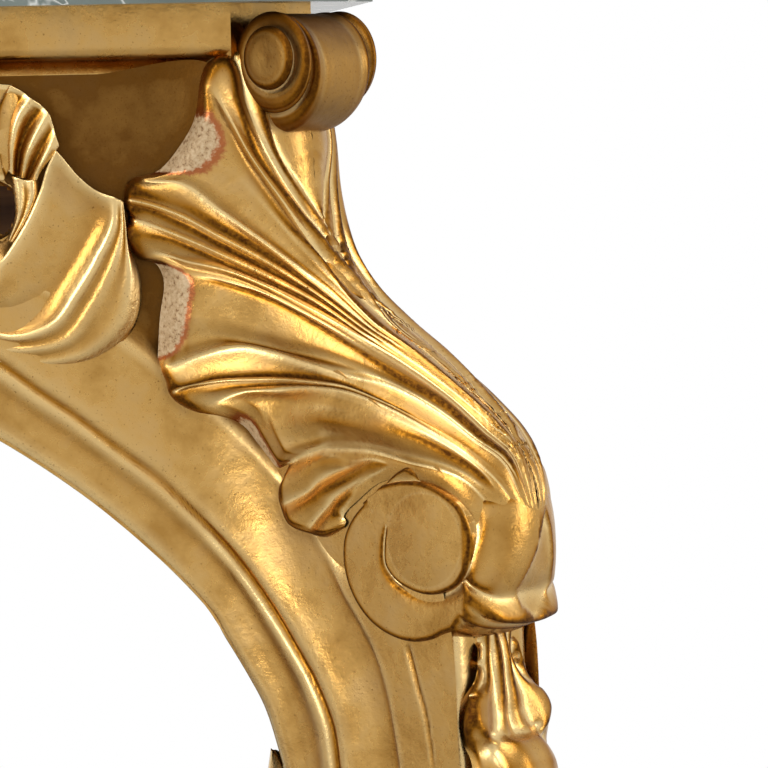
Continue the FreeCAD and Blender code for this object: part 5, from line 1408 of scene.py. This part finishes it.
def make_marble():
    """A polished grey-green marble: warped noise for its clouds, white veins where a second noise is at its middle."""
    material, tree, shader = new_material("grey_green_marble")
    place = add(tree, "ShaderNodeTexCoord").outputs["Object"]
    warp = add(tree, "ShaderNodeTexNoise", inputs={
        "Vector": place, "Scale": 1 / (MARBLE_CLOUD_SIZE * MM), "Detail": 6.0, "Distortion": 0.8})
    cloud = add(tree, "ShaderNodeValToRGB", inputs={"Fac": warp.outputs["Fac"]},
                stops=[(0.35, "59645F"), (0.5, "7B847D"), (0.65, "A3A79D")])
    lines = add(tree, "ShaderNodeTexNoise", inputs={
        "Vector": warp.outputs["Color"], "Scale": 5.0, "Detail": 3.0, "Distortion": 0.4})
    offset = add(tree, "ShaderNodeMath", {"operation": "SUBTRACT"}, {0: lines.outputs["Fac"], 1: 0.5})
    size = add(tree, "ShaderNodeMath", {"operation": "ABSOLUTE"}, {0: offset.outputs[0]})
    vein = add(tree, "ShaderNodeMapRange", inputs={
        "Value": size.outputs[0], "From Max": 0.016, "To Min": 0.85, "To Max": 0.0})
    veined = add(tree, "ShaderNodeMix", {"data_type": "RGBA"}, {
        0: vein.outputs[0], 6: cloud.outputs["Color"], 7: colour("E4E5DF")})
    tree.links.new(veined.outputs[2], shader.inputs["Base Color"])
    shader.inputs["Roughness"].default_value = 0.22
    return material


def make_pine():
    """Old sawn pine: a brown that runs in stretched grain."""
    material, tree, shader = new_material("aged_pine_wood")
    place = add(tree, "ShaderNodeTexCoord").outputs["Object"]
    across = 1 / (PINE_GRAIN_SIZE * MM)
    along = add(tree, "ShaderNodeMapping", inputs={
        "Vector": place, "Scale": (across / PINE_GRAIN_STRETCH, across, across)}).outputs["Vector"]
    grain = add(tree, "ShaderNodeTexNoise", inputs={"Vector": along, "Scale": 1.0, "Detail": 6.0}).outputs["Fac"]
    wood = add(tree, "ShaderNodeValToRGB", inputs={"Fac": grain},
               stops=[(0.3, "4A3020"), (0.5, "6E4C30"), (0.7, "8A6442")])
    tree.links.new(wood.outputs["Color"], shader.inputs["Base Color"])
    bump = add(tree, "ShaderNodeBump", inputs={"Strength": 0.3, "Distance": 0.0005, "Height": grain})
    tree.links.new(bump.outputs["Normal"], shader.inputs["Normal"])
    shader.inputs["Roughness"].default_value = 0.75
    return material


def make_metal(name, dark, light, roughness):
    """A plain metal, as rolled or turned, dulled in clouds between two colours."""
    material, tree, shader = new_material(name)
    place = add(tree, "ShaderNodeTexCoord").outputs["Object"]
    cloud = add(tree, "ShaderNodeTexNoise", inputs={
        "Vector": place, "Scale": 1 / (METAL_CLOUD_SIZE * MM), "Detail": 4.0})
    dulled = add(tree, "ShaderNodeValToRGB", inputs={"Fac": cloud.outputs["Fac"]},
                 stops=[(0.35, dark), (0.65, light)])
    tree.links.new(dulled.outputs["Color"], shader.inputs["Base Color"])
    shader.inputs["Metallic"].default_value = 1.0
    shader.inputs["Roughness"].default_value = roughness
    return material


repaint("water_gilding", GILDING)
repaint("veined_marble", make_marble())
repaint("aged_pine", make_pine())
repaint("brass_plate", make_metal("old_brass", "8A6A34", "B8954F", 0.35))
repaint("steel_screw", make_metal("dull_steel", "6A6C70", "8E9094", 0.4))

# %% [markdown]
# ## Light, floor and background
#
# Gilding shows what surrounds it, so the look is made by the lamps: large soft panels at the left and above
# give broad highlights on the ridges. The background is white to the camera and in reflections only, and the
# floor is a pale disc that fades into it.

# %% Light the room
def add_panel(name, place, aim, width, height, power):
    """A rectangular area lamp at a place in metres, turned towards its aim."""
    lamp = bpy.data.objects.new(name, bpy.data.lights.new(name, "AREA"))
    lamp.data.shape = "RECTANGLE"
    lamp.data.size, lamp.data.size_y, lamp.data.energy = width, height, power
    away = np.array(place) - np.array(aim)
    away /= np.linalg.norm(away)
    side = np.cross([0.0, 0.0, 1.0], away)
    side /= np.linalg.norm(side)
    matrix = np.eye(4)
    matrix[:3, :3] = np.column_stack([side, np.cross(away, side), away])
    matrix[:3, 3] = place
    lamp.matrix_world = Matrix(matrix.tolist())
    bpy.context.collection.objects.link(lamp)
    return lamp


AIM = (0.5, -0.2, 0.65)
add_panel("panel_left", (-1.6, -2.2, 1.9), AIM, 1.2, 1.6, 38.0)
add_panel("panel_top", (0.3, -0.9, 2.9), AIM, 2.0, 1.2, 27.0)
add_panel("panel_right", (2.6, -1.2, 1.2), AIM, 0.7, 1.6, 16.0)


def make_world():
    """White to the camera and in mirrors, a mid grey as light on matt surfaces."""
    world = bpy.data.worlds.new("studio")
    world.use_nodes = True
    tree = world.node_tree
    path = add(tree, "ShaderNodeLightPath")
    seen = add(tree, "ShaderNodeMath", {"operation": "MAXIMUM"},
               {0: path.outputs["Is Camera Ray"], 1: path.outputs["Is Transmission Ray"]})
    mirrored = add(tree, "ShaderNodeMath", {"operation": "MAXIMUM"},
                   {0: seen.outputs[0], 1: path.outputs["Is Glossy Ray"]})
    shade = add(tree, "ShaderNodeMix", {"data_type": "RGBA"},
                {0: mirrored.outputs[0], 6: colour("8C8C8C"), 7: colour("FFFFFF")})
    background = next(node for node in tree.nodes if node.type == "BACKGROUND")
    tree.links.new(shade.outputs[2], background.inputs["Color"])
    background.inputs["Strength"].default_value = 1.0
    bpy.context.scene.world = world


FLOOR_RADIUS, FLOOR_LEVEL = 2600.0, -0.5      # in millimetres; it lies just under the feet
FLOOR_SIDES, FLOOR_RINGS = 96, 14
FADE_START, FADE_END = 1.2, 2.5               # metres from the middle


def make_floor():
    """A disc on the ground whose material turns to the background's white towards its rim."""
    angle = np.linspace(0, 2 * np.pi, FLOOR_SIDES, endpoint=False)[:, None]
    radius = np.linspace(0.0, FLOOR_RADIUS, FLOOR_RINGS)[None, :]
    level = np.full_like(radius * angle, FLOOR_LEVEL)
    points = np.stack([radius * np.cos(angle), radius * np.sin(angle), level], axis=-1)
    floor = put_mesh("floor", [(points, False, True)])
    material, tree, shader = new_material("pale_floor")
    place = add(tree, "ShaderNodeTexCoord").outputs["Object"]
    distance = add(tree, "ShaderNodeVectorMath", {"operation": "LENGTH"}, {0: place})
    fade = add(tree, "ShaderNodeMapRange", {"interpolation_type": "SMOOTHSTEP"},
               {"Value": distance.outputs["Value"], "From Min": FADE_START, "From Max": FADE_END})
    path = add(tree, "ShaderNodeLightPath")
    seen = add(tree, "ShaderNodeMath", {"operation": "MAXIMUM"},
               {0: path.outputs["Is Camera Ray"], 1: path.outputs["Is Glossy Ray"]})
    factor = add(tree, "ShaderNodeMath", {"operation": "MULTIPLY"}, {0: fade.outputs[0], 1: seen.outputs[0]})
    shader.inputs["Base Color"].default_value = colour("E9E7E3")
    shader.inputs["Roughness"].default_value = 0.7
    white = add(tree, "ShaderNodeEmission", inputs={"Color": colour("FFFFFF"), "Strength": 1.0})
    mixed = add(tree, "ShaderNodeMixShader", inputs={0: factor.outputs[0], 1: shader.outputs[0], 2: white.outputs[0]})
    output = next(node for node in tree.nodes if node.type == "OUTPUT_MATERIAL")
    tree.links.new(mixed.outputs[0], output.inputs["Surface"])
    floor.data.materials.append(material)


make_world()
make_floor()
bpy.context.scene.view_settings.view_transform = "Standard"
